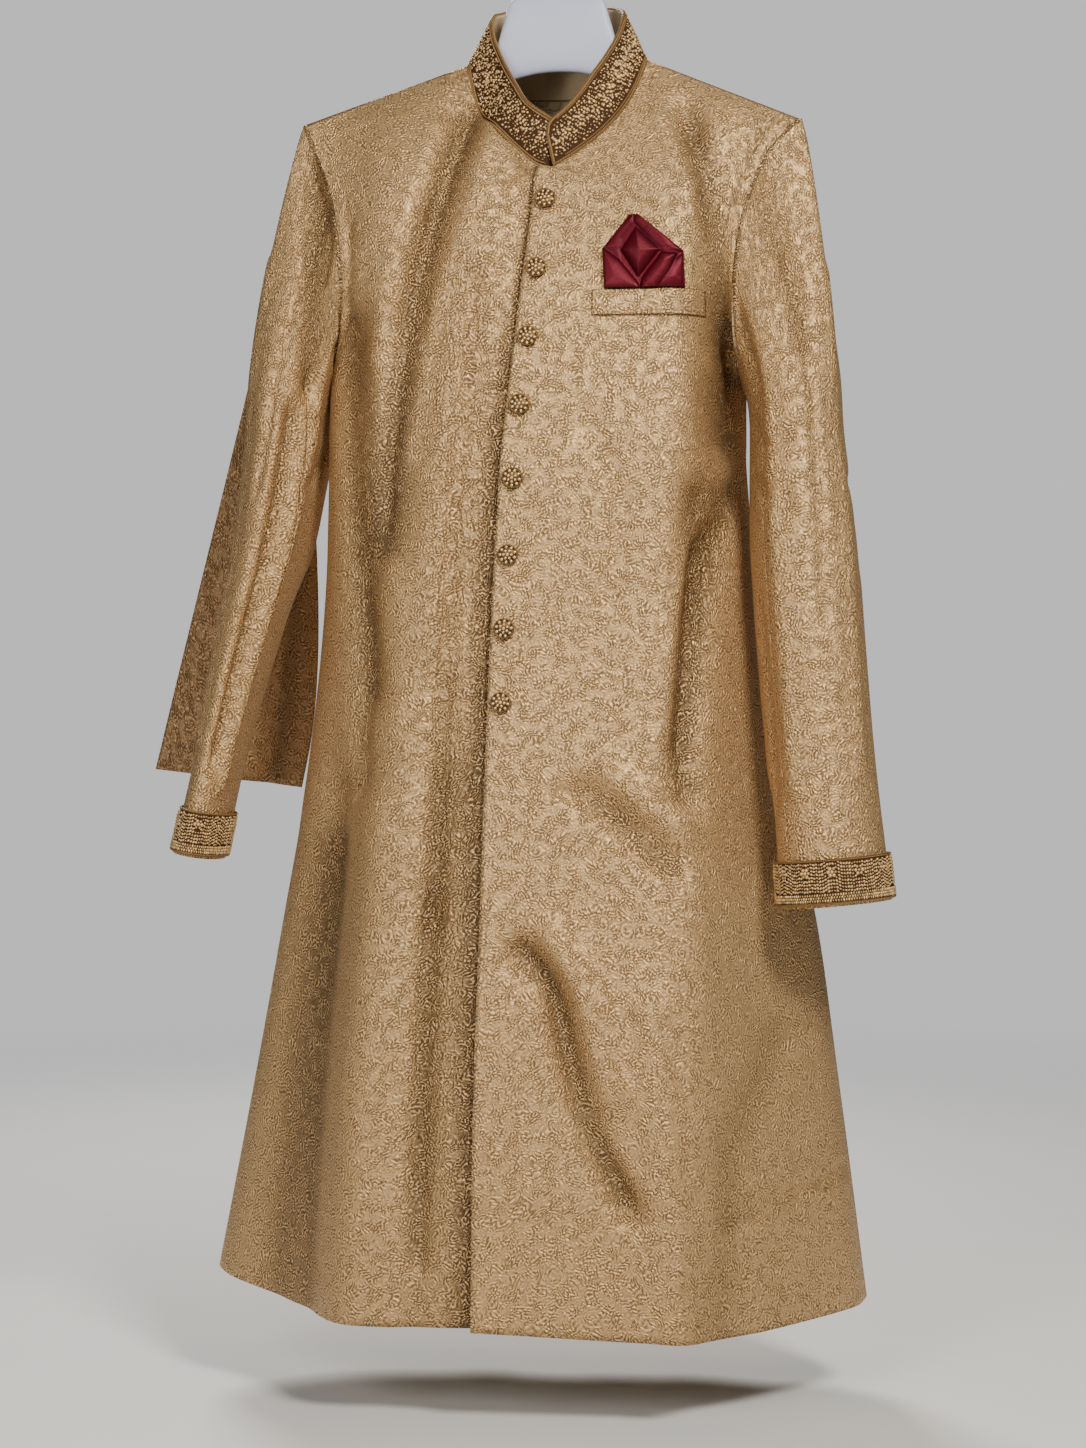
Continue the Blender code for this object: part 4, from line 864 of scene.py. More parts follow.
right_shares = joined(UNDER_SHARES, np.linspace(UNDER_SHARES[-1], 1.0, FRONT_COLUMNS - 1))
left_shares = np.linspace(0.0, 1.0, FRONT_COLUMNS)
right_ring = np.concatenate([path_points(RIGHT_NECK[::-1], NECK_ROWS - 2), UNDER_NECK[::-1]])
left_ring = np.concatenate([path_points(LEFT_NECK[:0:-1], NECK_ROWS - 1), LEFT_NECK[:1]])
right_cut = finer_shares(right_shares)
left_cut = finer_shares(left_shares)
right_flat = finer(front_flat(right_ring, RIGHT_ARMHOLE, right_shares, right_line, RIGHT_HEM))
left_flat = finer(front_flat(left_ring, LEFT_ARMHOLE, left_shares, left_line, LEFT_HEM))
right_front_grid = in_world(folded(right_flat, FRONT_FOLDS + CREASES, (0, -1, 0), 1 - right_cut))
left_front_grid = in_world(folded(left_flat, FRONT_FOLDS + CREASES, (0, -1, 0), 1 - left_cut))

back_shares = joined(
    np.linspace(0.0, BACK_NECK_SHARE, SHOULDER_COLUMNS),
    np.linspace(BACK_NECK_SHARE, 1 - BACK_NECK_SHARE, NECK_COLUMNS),
    np.linspace(1 - BACK_NECK_SHARE, 1.0, SHOULDER_COLUMNS),
)
back_top = inset_top(
    joined(
        path_points((RIGHT_BACK_ARMHOLE[0], BACK_NECK[0]), SHOULDER_COLUMNS),
        path_points(BACK_NECK, NECK_COLUMNS),
        path_points((BACK_NECK[-1], LEFT_BACK_ARMHOLE[0]), SHOULDER_COLUMNS),
    ),
    1.0,
)
back_near = armhole_edge(RIGHT_BACK_ARMHOLE, back_line, 0.0)
back_far = armhole_edge(LEFT_BACK_ARMHOLE, back_line, 1.0)
back_near[0], back_far[0] = back_top[0], back_top[-1]
back_upper = upper_part(back_top, back_near, back_far, back_shares, back_line, 1.0, BACK_PULL)
back_flat = finer(np.concatenate([back_upper, lower_part(back_shares, BACK_HEM, back_line)]))
back_cut = finer_shares(back_shares)
back_to_seam = np.minimum(back_cut, 1 - back_cut)
back_grid = in_world(folded(back_flat, BACK_FOLDS + BACK_CREASES, (0, 1, 0), back_to_seam))

left_out = normals_of(left_front_grid, (0, -1, 0))
back_out = normals_of(back_grid, (0, 1, 0))
left_out[0] = shoulder_out(LEFT_NECK[-1], LEFT_ARMHOLE[0])
shoulder_steps = (SHOULDER_COLUMNS - 1) * FINER + 1
back_out[0, :shoulder_steps] = shoulder_out(RIGHT_NECK[-1], RIGHT_ARMHOLE[0])
back_out[0, -shoulder_steps:] = left_out[0, 0]
left_out[1:, -1] = back_out[1:, -1] = unit(left_out[1:, -1] + back_out[1:, -1])


def forward(centres):
    return np.array([0.0, -1.0, 0.0])


def backward(centres):
    return np.array([0.0, 1.0, 0.0])


left_front = shell(
    "left_front_cloth",
    left_front_grid,
    left_front_grid - left_out * CLOTH,
    forward,
    coat_brocade,
    cloth_lengths(left_front_grid, CHEST_ROW, LEFT_PLUMB),
    relief_of(left_flat, FRONT_FOLDS + CREASES, 1 - left_cut),
    lining=fawn_lining,
)
left_surface = surface_of(left_front)
right_front_grid = tucked_under(right_front_grid, left_surface, CLOTH + OVERLAP_GAP)
right_out = normals_of(right_front_grid, (0, -1, 0))
right_out[0] = back_out[0, 0]
right_out[1:, -1] = back_out[1:, 0] = unit(right_out[1:, -1] + back_out[1:, 0])
right_relief = relief_of(right_flat, FRONT_FOLDS + CREASES, 1 - right_cut)
# Painted shadow on the right front beside the left front's edge: a dark line, a strip of shade
# lower down, and crumpled lines, all carried on its relief map.
edge_x = np.interp(-right_front_grid[..., 2], -left_front_grid[:, 0, 2], left_front_grid[:, 0, 0])
beside_edge = np.clip(edge_x - right_front_grid[..., 0], 0.0, None)
lower_down = NECK_Z - EDGE_STRIP_DROP - right_front_grid[..., 2]
lower_down = np.clip(lower_down / EDGE_STRIP_GROWS, 0.0, 1.0)
edge_crumpled = lower_down * np.exp(-((beside_edge / EDGE_CRUMPLED) ** 2))
right_relief[..., 0] -= EDGE_SHADOW_LINE[0] * np.exp(-((beside_edge / EDGE_SHADOW_LINE[1]) ** 2))
right_relief[..., 0] -= EDGE_SHADOW_STRIP[0] * lower_down * np.exp(-((beside_edge / EDGE_SHADOW_STRIP[1]) ** 2))
right_relief[..., 1] = np.maximum(right_relief[..., 1], edge_crumpled)
right_front = shell(
    "right_front_cloth",
    right_front_grid,
    right_front_grid - right_out * CLOTH,
    forward,
    coat_brocade,
    cloth_lengths(right_front_grid, CHEST_ROW, RIGHT_PLUMB),
    right_relief,
    lining=fawn_lining,
)
back = shell(
    "back_cloth",
    back_grid,
    back_grid - back_out * CLOTH,
    backward,
    coat_brocade,
    cloth_lengths(back_grid, CHEST_ROW, back_grid.shape[1] // 2),
    relief_of(back_flat, BACK_FOLDS + BACK_CREASES, back_to_seam),
    lining=fawn_lining,
)


def declared(piece, node):
    """Hangs the cloth on the root and hides the imported part that it replaces."""
    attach(piece, "root")
    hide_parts(node)


for piece, node in ((left_front, "left_front"), (right_front, "right_front"), (back, "back")):
    declared(piece, node)

# ---- the sleeves ---------------------------------------------------------------------------
# Two-piece sleeves of the same brocade, eased into the armholes, so that their caps stand a little
# proud of the shoulder. The top sleeve shows in front and the under sleeve faces the body.

Tube = namedtuple("Tube", "drop x y half_width half_depth")
RIGHT_SLEEVE = (
    Tube(0.335, -0.2430, -0.006, 0.0335, 0.066),
    Tube(0.420, -0.2550, -0.012, 0.0300, 0.060),
    Tube(0.520, -0.2778, -0.020, 0.0240, 0.055),
    Tube(0.620, -0.2996, -0.030, 0.0194, 0.050),
    Tube(0.705, -0.3163, -0.040, 0.0207, 0.047),
)
LEFT_SLEEVE = (
    Tube(0.335, 0.2165, -0.020, 0.0390, 0.058),
    Tube(0.420, 0.2225, -0.035, 0.0440, 0.054),
    Tube(0.520, 0.2300, -0.050, 0.0445, 0.050),
    Tube(0.620, 0.2390, -0.064, 0.0440, 0.046),
    Tube(0.742, 0.2505, -0.078, 0.0474, 0.044),
)
SLEEVE_COLUMNS = 24
UNDER_SLEEVE_COLUMNS = 9
SLEEVE_CAP_ROWS = 6
SLEEVE_ROWS = 9
SLEEVE_TURN = 0.6  # radians from the innermost line of the tube back to the underarm point
SEAM_PUSH = 0.0020  # the sleeve starts this far outside its armhole
UNDERARM_PUSH = 0.0012  # and this much further under the arm
SLEEVE_TUCK = 0.0030  # its edge turns in by this much at the armhole
SEAM_PAINTED_SHADE = -2.0  # relief that paints shade into a seam's groove
FADE_ROWS = 6  # rows over which the folds come in from the armhole
AXIS_STEP = 0.02  # over what drop the sleeve's lean is read
CAP_RISE = 0.032  # how far the cap stands off before it falls
SLEEVE_ROUND = 0.34  # the way round that the folds' tables count in
# Folds of a sleeve by the way round from its underarm line, forwards, and the drop.
RIGHT_SLEEVE_FOLDS = folds_in_mm(
    (-10, 13, (142, 95), (122, 155), (98, 220), (70, 290)),
    (-4.5, 6, (118, 130), (100, 165), (94, 200)),
    (5.5, 8, (44, 200), (56, 290), (66, 370), (72, 480), (74, 640)),
    (-8, 13, (92, 320), (98, 430), (100, 610)),
    (-3, 8, (120, 140), (116, 260), (130, 380)),
    (-3, 6, (28, 340), (48, 372), (66, 380)),
    (-3, 9, (200, 160), (210, 300), (196, 420)),
    (-3.5, 8, (250, 320), (225, 360), (190, 380)),
    (3, 10, (165, 180), (170, 400), (160, 600)),
)
LEFT_SLEEVE_FOLDS = folds_in_mm(
    (-5, 20, (124, 80), (130, 180), (134, 260)),
    (-4.5, 12, (60, 130), (54, 210), (66, 300)),
    (3.5, 10, (86, 150), (84, 320), (86, 480), (84, 640)),
    (-3, 7, (50, 330), (80, 350), (110, 342)),
    (-3, 6, (46, 372), (78, 392), (104, 396)),
    (-2.5, 8, (130, 180), (140, 330), (134, 500)),
    (-3, 9, (50, 480), (56, 580), (52, 650)),
    (-3, 9, (205, 150), (215, 310), (200, 450)),
    (-3.5, 8, (255, 330), (228, 366), (192, 384)),
    (3, 10, (168, 200), (172, 420), (164, 620)),
)


def lies(height, width, drops):
    """Where a sleeve sags against the body, on both sides of its underarm line."""
    ways = (0.0, SLEEVE_ROUND)
    return tuple(Fold(height, width, [(way, drop) for drop in drops]) for way in ways)


RIGHT_SLEEVE_LIES = lies(0.0060, 0.032, (0.230, 0.330, 0.430))
LEFT_SLEEVE_LIES = lies(0.0095, 0.034, (0.230, 0.420, 0.620))


def sleeve_axis(table, drop):
    """Centre, half width, half depth, and lean per metre of drop, at a drop."""
    x, y, half_width, half_depth = row_at(table, drop)
    lower = min(drop + AXIS_STEP, table[-1].drop)
    aside = row_at(table, lower)[0] - row_at(table, drop - AXIS_STEP)[0]
    return x, y, half_width, half_depth, aside / (lower - max(drop - AXIS_STEP, table[0].drop))


def sleeve_ring(table, inner_sign, drop, turns):
    """Points of one section; turn 0 is the underarm, a quarter the front, a half the outside."""
    x, y, half_width, half_depth, lean = sleeve_axis(table, drop)
    angle = 2 * math.pi * turns - SLEEVE_TURN
    across = inner_sign * half_width * np.cos(angle)
    return np.column_stack([x + across, y - half_depth * np.sin(angle), drop - lean * across])


def sleeve_grid(table, front_armhole, back_armhole, inner_sign):
    """The whole sleeve from its armhole to its end, a column for each turn."""
    turns = np.linspace(0.0, 1.0, SLEEVE_COLUMNS + 1)
    half = SLEEVE_COLUMNS // 2 + 1
    hole = joined(path_points(front_armhole[::-1], half), path_points(back_armhole, half))
    outward = np.array([-inner_sign, 0.0, 0.0])
    top_ring = sleeve_ring(table, inner_sign, table[0].drop, turns)
    height = (top_ring[:, 2] - hole[:, 2])[:, None]
    raised = 0.5 - 0.5 * np.cos(2 * math.pi * turns)[:, None]
    falls = np.array([0.0, 0.0, 1.0]) * height * (1 - 0.8 * raised)
    leave = outward * (CAP_RISE - 0.010 * raised) + falls
    arrive = np.array([0.0, -0.02, 1.0]) * height * 1.1
    hole = hole + outward * (SEAM_PUSH + UNDERARM_PUSH * (1 - raised))
    cap = hung(hole, leave, top_ring, arrive, SLEEVE_CAP_ROWS + 1)
    drops = np.linspace(table[0].drop, table[-1].drop, SLEEVE_ROWS + 1)[1:]
    rings = [sleeve_ring(table, inner_sign, drop, turns) for drop in drops]
    return np.concatenate([cap, rings])


def make_sleeve(side, inner_sign, table, front_armhole, back_armhole, folds, sags):
    """Both cloths of a sleeve, its folds in them, which meet at its two seams."""
    coarse = sleeve_grid(table, front_armhole, back_armhole, inner_sign)
    ringed = np.concatenate([coarse[:, -3:-1], coarse, coarse[:, 1:3]], axis=1)
    grid = finer(ringed)[:, 2 * FINER : -2 * FINER]
    tucked = grid[:1] + np.array([inner_sign * SLEEVE_TUCK, 0.0, 0.0])
    grid = np.concatenate([tucked, grid])
    rows = np.array(table)
    wrapped = in_world(np.concatenate([grid[:, -2:-1], grid, grid[:, 1:2]], axis=1))

    def from_axis(points):
        drops = NECK_Z - points[..., 2]
        axis = [np.interp(drops, rows[:, 0], rows[:, column]) for column in (1, 2)]
        return points - np.stack([*axis, points[..., 2]], axis=-1)

    way_round = np.broadcast_to(np.linspace(0.0, SLEEVE_ROUND, grid.shape[1]), grid.shape[:2])
    near_armhole = np.clip(np.arange(len(grid)) / FADE_ROWS, 0.0, 1.0)[:, None]
    height = fold_height(way_round, grid[..., 2], folds) * near_armhole
    push = height + fold_height(way_round, grid[..., 2], sags) * near_armhole
    outwards = from_axis(wrapped)
    wrapped[:, 1:-1] += normals_of(wrapped, outwards)[:, 1:-1] * push[..., None]
    wrapped[:, 0], wrapped[:, -1] = wrapped[:, -3], wrapped[:, 2]
    crumpled = np.clip(0.25 + np.abs(height) * 110.0, 0.0, 0.9)
    relief = np.stack([height * 100.0 + RELIEF_REST, crumpled], axis=-1)
    # painted shade along the seam's groove at the armhole
    relief[:2, :, 0] = SEAM_PAINTED_SHADE
    outer = wrapped[:, 1:-1]
    inner = outer - normals_of(wrapped, outwards)[:, 1:-1] * CLOTH
    ahead = (UNDER_SLEEVE_COLUMNS // 2 + 1) * FINER
    behind = (SLEEVE_COLUMNS - UNDER_SLEEVE_COLUMNS + UNDER_SLEEVE_COLUMNS // 2 + 1) * FINER

    for name, columns in (
        ("top", list(range(ahead, behind + 1))),
        ("under", list(range(behind, SLEEVE_COLUMNS * FINER)) + list(range(ahead + 1))),
    ):
        half = np.array([outer[:, columns], inner[:, columns]])
        for edge, beside in ((0, 1), (-1, -2)):
            half[:, :, edge] += unit(half[:, :, beside] - half[:, :, edge]) * SEAM / 2
        node = f"{side}_{name}_sleeve"
        weave = cloth_lengths(half[0], -1, len(columns) // 2)
        piece = shell(
            node + "_cloth", *half, from_axis, coat_brocade, weave, relief[:, columns]
        )
        declared(piece, node)


for side, inner_sign, *sleeve in (
    (
        "right", 1.0, RIGHT_SLEEVE, RIGHT_ARMHOLE, RIGHT_BACK_ARMHOLE,
        RIGHT_SLEEVE_FOLDS, RIGHT_SLEEVE_LIES,
    ),
    (
        "left", -1.0, LEFT_SLEEVE, LEFT_ARMHOLE, LEFT_BACK_ARMHOLE,
        LEFT_SLEEVE_FOLDS, LEFT_SLEEVE_LIES,
    ),
):
    make_sleeve(side, inner_sign, *sleeve)

# ---- the collar ----------------------------------------------------------------------------
# A stiff standing band, its left end over its right, embroidered all over with gold rice beads that
# are biggest along its middle. Plain silk piping binds its edges, with a fine cord inside the foot.

Collar = namedtuple("Collar", "x y drop top_x top_y top_drop")
COLLAR_HALF = (
    Collar(0.0325, -0.0520, 0.0840, 0.0195, -0.0460, 0.0450),
    Collar(0.0590, -0.0360, 0.0565, 0.0370, -0.0320, 0.0170),
    Collar(0.0730, -0.0180, 0.0295, 0.0530, -0.0130, -0.0130),
    Collar(0.0802, 0.0020, 0.0000, 0.0600, 0.0070, -0.0420),
    Collar(0.0680, 0.0320, -0.0060, 0.0500, 0.0330, -0.0530),
    Collar(0.0350, 0.0570, -0.0095, 0.0265, 0.0510, -0.0570),
    Collar(0.0000, 0.0640, -0.0100, 0.0000, 0.0560, -0.0580),
)
UNDER_END = (0.0050, -0.0550, 0.1060, 0.0120, -0.0470, 0.0655)  # the right end, under the left
OVER_END = (0.0060, -0.0600, 0.1035, -0.0030, -0.0528, 0.0665)
UNDER_BACK = 0.0014  # how far the right half is sewn behind its neckline's outer side
COLLAR_CLEAR = 0.0010
BAND = 0.0026  # stiffened, embroidered band
COLLAR_STEPS = 8  # steps of the band between two rows of the cut
COLLAR_ROWS = 19
CORNER_ROUND = 0.009  # radius of the upper corner at the band's ends
PIPING = 0.0017  # radius of the bound edge
INNER_CORD = 0.00075
CORD_SHARES = (0.065, 0.935)  # where two inner cords run, as shares of the band's height
BEAD_LENGTH, BEAD_WIDTH, BEAD_THICK = 0.0048, 0.0033, 0.0026
BEAD_STEP, BEAD_ROW = 0.0034, 0.0027
BEAD_LAYERS = ("facing", "along", "size")  # how each bead lies, as vectors on a mesh of points
BEADED = (0.0062, 0.0054)  # how far in from the band's top and foot the beads start and end
BEADS_MISSING = 0.04
BEADS_ASTRAY = (0.24, 0.011)  # how far beads stray, in columns along and as a share of the height
WHORLS = 85.0  # to a metre: how quickly the beads' lie changes
BEADS_BIG = (0.47, 0.17)  # middle and width of the stretch of big beads, as shares of the height
BEAD_COLOUR = (0.80, 0.54, 0.25)
VELVET_COLOUR = (0.036, 0.0145, 0.0045)
PIPING_COLOUR = (0.340, 0.195, 0.075)
PLY = 0.0016  # from one ply of a twisted cord to the next


def collar_row(row, side):
    return [side * row.x, row.y, row.drop, side * row.top_x, row.top_y, row.top_drop]


def shares_along(points):
    reach = reach_along(points)
    return reach / reach[-1]


def at_places(grid, rows, columns):
    """The grid's values at fractional rows and columns."""
    row = np.clip(np.floor(rows).astype(int), 0, grid.shape[0] - 2)
    column = np.clip(np.floor(columns).astype(int), 0, grid.shape[1] - 2)
    down, across = (rows - row)[:, None], (columns - column)[:, None]
    upper = grid[row, column] * (1 - across) + grid[row, column + 1] * across
    lower = grid[row + 1, column] * (1 - across) + grid[row + 1, column + 1] * across
    return upper * (1 - down) + lower * down


def tube(name, points, outward, radius, finish, sides=8):
    """A cord or piping along a line of points, with cloth coordinates along and round it."""
    ahead = unit(np.gradient(points, axis=0))
    beside = unit(np.cross(ahead, outward))
    upward = np.cross(beside, ahead)
    turns = np.linspace(0.0, 2 * math.pi, sides + 1)[None, :, None]
    rings = np.cos(turns) * upward[:, None] + np.sin(turns) * beside[:, None]
    rings = points[:, None] + radius * rings
    rows = len(points)
    index = np.arange(rows * sides).reshape(rows, sides)
    index = np.concatenate([index, index[:, :1]], axis=1)
    quads = [index[:-1, :-1], index[1:, :-1], index[1:, 1:], index[:-1, 1:]]
    quads = np.stack(quads, axis=-1).reshape(-1, 4)
    corners = rings[:, :-1].reshape(-1, 3)
    middle = points.repeat(sides, axis=0)[quads].mean(axis=1)
    faces = corners[quads]
    normals = np.cross(faces[:, 2] - faces[:, 0], faces[:, 3] - faces[:, 1])
    ends = [index[0, :-1].tolist(), index[-1, :-1][::-1].tolist()]
    if (normals * (faces.mean(axis=1) - middle)).sum() < 0:
        quads = quads[:, ::-1]
        ends = [end[::-1] for end in ends]
    mesh = bpy.data.meshes.new(name)
    mesh.from_pydata(corners.tolist(), [], quads.tolist() + ends)
    around = np.arange(sides) * radius * 2 * math.pi / sides
    spots = np.broadcast_arrays(reach_along(points)[:, None], around[None, :])
    spots = np.stack(spots, axis=-1).reshape(-1, 2)
    loops = np.concatenate([quads.reshape(-1), *ends])
    mesh.uv_layers.new(name="cloth").data.foreach_set("uv", spots[loops].reshape(-1))
    mesh.shade_smooth()
    mesh.materials.append(finish)
    return placed(name, mesh)


class Tree(Nodes):
    """A tree of geometry nodes with named inputs."""

    def __init__(self, name, inputs):
        self.tree = bpy.data.node_groups.new(name, "GeometryNodeTree")
        shape = "NodeSocketGeometry"
        titles = {"Geometry": shape, **inputs}
        for title, kind in titles.items():
            self.tree.interface.new_socket(title, in_out="INPUT", socket_type=kind)
        self.tree.interface.new_socket("Geometry", in_out="OUTPUT", socket_type=shape)
        entry = self.tree.nodes.new("NodeGroupInput")
        self.given = {title: Flow(entry.outputs[title]) for title in titles}

    def ends(self, flow, finish):
        """Realises the geometry, gives it its finish and puts it out."""
        real = self.node("GeometryNodeRealizeInstances", {}, {"Geometry": flow})
        smooth = self.node("GeometryNodeSetShadeSmooth", {}, {"Geometry": real})
        done = self.node("GeometryNodeSetMaterial", {}, {"Geometry": smooth, "Material": finish})
        feed(self.tree.nodes.new("NodeGroupOutput").inputs[0], done)

    def run(self, name, mesh, **values):
        """The tree's result on a mesh, as a plain mesh object."""
        source = placed(name + "_source", mesh)
        modifier = source.modifiers.new("tree", "NODES")
        modifier.node_group = self.tree
        for item in self.tree.interface.items_tree:
            if item.in_out == "INPUT" and item.name in values:
                modifier[item.identifier] = values[item.name]
        bpy.context.view_layer.update()
        evaluated = source.evaluated_get(bpy.context.evaluated_depsgraph_get())
        made = bpy.data.meshes.new_from_object(evaluated)
        made.name = name
        bpy.data.objects.remove(source, do_unlink=True)
        return placed(name, made)


beading = Tree(
    "beads_on_points",
    {
        "Sides": "NodeSocketInt",
        "Rings": "NodeSocketInt",
        "Uneven": "NodeSocketFloat",
        "Seed": "NodeSocketInt",
        "Finish": "NodeSocketMaterial",
    },
)
one_bead = beading.node(
    "GeometryNodeMeshUVSphere",
    {},
    {"Segments": beading.given["Sides"], "Rings": beading.given["Rings"], "Radius": 0.5},
)
facing, along, size = [
    beading.node("GeometryNodeInputNamedAttribute", {"data_type": "FLOAT_VECTOR"}, {"Name": title})
    for title in BEAD_LAYERS
]
bead_turn = beading.node(
    "FunctionNodeAxesToRotation",
    {"primary_axis": "Z", "secondary_axis": "X"},
    {"Primary Axis": facing, "Secondary Axis": along},
)
chance = beading.node(
    "FunctionNodeRandomValue",
    {"data_type": "FLOAT"},
    {2: 1 - beading.given["Uneven"], 3: 1.0, 8: beading.given["Seed"]},
    1,
)
bead_size = beading.node(
    "ShaderNodeVectorMath", {"operation": "SCALE"}, {0: size, "Scale": chance}
)
tinted = beading.node(
    "GeometryNodeStoreNamedAttribute",
    {"data_type": "FLOAT", "domain": "POINT"},
    {"Geometry": beading.given["Geometry"], "Name": "tint", "Value": chance},
)
strewn = beading.node(
    "GeometryNodeInstanceOnPoints",
    {},
    {"Points": tinted, "Instance": one_bead, "Rotation": bead_turn, "Scale": bead_size},
)
beading.ends(strewn, beading.given["Finish"])


def carried(piece, slot, *nodes):
    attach(piece, "root")
    if nodes:
        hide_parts(*nodes)


def make_beads(name, slot, places, lying, finish, **shape):
    """A bead at each place: lying holds the way it faces, its long side's way and its size."""
    mesh = bpy.data.meshes.new(name + "_points")
    mesh.from_pydata(np.array(places).tolist(), [], [])
    for title, values in zip(BEAD_LAYERS, lying):
        layer = mesh.attributes.new(title, "FLOAT_VECTOR", "POINT")
        layer.data.foreach_set("vector", np.array(values, dtype=np.float32).reshape(-1))
    carried(beading.run(name, mesh, Finish=finish, **shape), slot)


def bead_finish(name, colour, roughness=0.34, metallic=0.55):
    """Gilt beads, each a little lighter or darker than the next, flecked darker and duller."""
    gilt = Finish(name)
    tint = gilt.node("ShaderNodeAttribute", {"attribute_name": "tint"}, {}, "Fac")
    speck = gilt.grain(gilt.on_piece(), 700.0, 2.0)
    darker = toned(colour, 0.45)
    shade = gilt.mixed(gilt.between(tint, 0.6, 1.0), darker, colour)
    gilt.raised(speck, 0.0001)
    return gilt.set(
        base_color=gilt.mixed(speck * 0.35, shade, darker),
        roughness=roughness + speck * 0.2,
        metallic=metallic,
    )


def velvet_finish():
    """The dark ground of the embroidery, with its threads' uneven nap."""
    ground = Finish("embroidery_ground")
    spot = ground.on_map("cloth")
    nap = ground.grain(spot, 900.0, 3.0)
    threads = ground.node("ShaderNodeTexVoronoi", {}, {"Vector": spot, "Scale": 700.0})
    colour = ground.mixed(nap, toned(VELVET_COLOUR, 0.5), toned(VELVET_COLOUR, 2.2))
    ground.raised(nap * 0.6 + threads * 0.6, 0.0006)
    return ground.set(base_color=colour, roughness=0.75, specular_ior_level=0.15)


def cord_finish():
    """Twisted silk: slanting ply lines along the cord, lighter on each ply and darker between as
    painted highlight and shade, with random streaks.
    """
    silk = Finish("piping_silk")
    spot = silk.on_map("cloth")
    way = silk.part(spot, "X") + silk.part(spot, "Y") * 0.8
    ply = (way * (2 * math.pi / PLY)).math("SINE")
    share = silk.between(ply + silk.grain(spot, 500.0, 2.0) * 0.8, -0.6, 1.2)
    silk.raised(ply, 0.00022)
    # painted highlight on the plies and painted shade between them
    colour = silk.mixed(share, toned(PIPING_COLOUR, 0.62), toned(PIPING_COLOUR, 1.25))
    return silk.set(base_color=colour, roughness=0.5, metallic=0.4, specular_ior_level=0.3)


gilt_beads = bead_finish("gilt_beads", BEAD_COLOUR)
band_ground = velvet_finish()
piping_silk = cord_finish()

collar_rows = [UNDER_END] + [collar_row(row, -1.0) for row in COLLAR_HALF]
collar_rows += [collar_row(row, 1.0) for row in COLLAR_HALF[-2::-1]] + [OVER_END]
collar_rows = np.array(collar_rows)
under_seam = right_front_grid[(NECK_ROWS - 2) * FINER : 0 : -FINER, 0]
collar_seam = np.concatenate(
    [
        under_seam + np.array([0.0, UNDER_BACK, 0.0]),
        back_grid[0, shoulder_steps - 1 : 1 - shoulder_steps + 1 : FINER],
        left_front_grid[FINER : (NECK_ROWS - 1) * FINER : FINER, 0],
    ]
)
collar_knots = shares_along(in_world(collar_rows[:, :3]))
collar_top = in_world(eased(shares_along(collar_seam), collar_knots, collar_rows[:, 3:]))
collar_foot = collar_seam + unit(collar_top - collar_seam) * COLLAR_CLEAR
collar_lines = finer(np.array([collar_top, collar_foot]), COLLAR_STEPS, 1)
collar_height = np.linalg.norm(collar_lines[1] - collar_lines[0], axis=1)
collar_way = reach_along(collar_lines[0])
to_end = np.minimum(collar_way, collar_way[-1] - collar_way)
short = np.clip(CORNER_ROUND - to_end, 0.0, None)
cut_down = (CORNER_ROUND - np.sqrt(CORNER_ROUND**2 - short**2)) / collar_height
collar_shares = cut_down + np.linspace(0.0, 1.0, COLLAR_ROWS)[:, None] * (1 - cut_down)
collar_base = collar_lines[0] + (collar_lines[1] - collar_lines[0]) * collar_shares[..., None]
collar_out = normals_of(collar_base, collar_base * (1, 1, 0))
collar_cloth = np.broadcast_arrays(collar_way[None, :], -collar_shares * collar_height)
collar_band = shell(
    "collar_ground",
    collar_base,
    collar_base - collar_out * BAND,
    lambda centres: centres * (1, 1, 0),
    band_ground,
    np.stack(collar_cloth, axis=-1),
    lining=fawn_lining,
)
carried(collar_band, "embroidery", "collar_band")


def round_rim(grid):
    """The grid's outermost points, round from the foot's right end."""
    return np.concatenate([grid[-1, :-1], grid[:0:-1, -1], grid[0, :0:-1], grid[:, 0]])


rim, rim_out = round_rim(collar_base), round_rim(collar_out)
kept = np.concatenate([[True], np.linalg.norm(np.diff(rim, axis=0), axis=1) > 0.0004])
rim_line = rim[kept] - rim_out[kept] * (BAND * 0.35)
rim_piping = tube("collar_piping", rim_line, rim_out[kept], PIPING, piping_silk)
carried(rim_piping, "embroidery")
cord_out = collar_out[COLLAR_ROWS // 2, 4:-4]
for number, share in enumerate(CORD_SHARES):
    line = (collar_lines[0] + (collar_lines[1] - collar_lines[0]) * share)[4:-4]
    name = f"collar_cord_{number + 1}"
    cord = tube(name, line + cord_out * 0.0003, cord_out, INNER_CORD, piping_silk, 6)
    carried(cord, "embroidery")

chance = np.random.default_rng(7)
places = []
for number, down in enumerate(np.arange(BEADED[0], 0.0600, BEAD_ROW)):
    steps = np.arange(0.0035 + (number % 2) * BEAD_STEP / 2, collar_way[-1] - 0.003, BEAD_STEP)
    columns = np.interp(steps, collar_way, np.arange(len(collar_way)))
    height = np.interp(columns, np.arange(len(collar_way)), collar_height)
    share = down / height
    fits = share < 1 - BEADED[1] / height
    near_end = np.minimum(steps, collar_way[-1] - steps)
    fits &= (near_end > 0.0075) | (down > 0.0125 - near_end * 0.6)  # clear of the round corners
    places.append(np.column_stack([columns, share])[fits])
places = np.concatenate(places)
places = places[chance.random(len(places)) > BEADS_MISSING]
for axis, astray in enumerate(BEADS_ASTRAY):
    places[:, axis] += chance.normal(0.0, astray, len(places))
base_index = places[:, 1] * (COLLAR_ROWS - 1)
bead_spots = at_places(collar_base, base_index, places[:, 0])
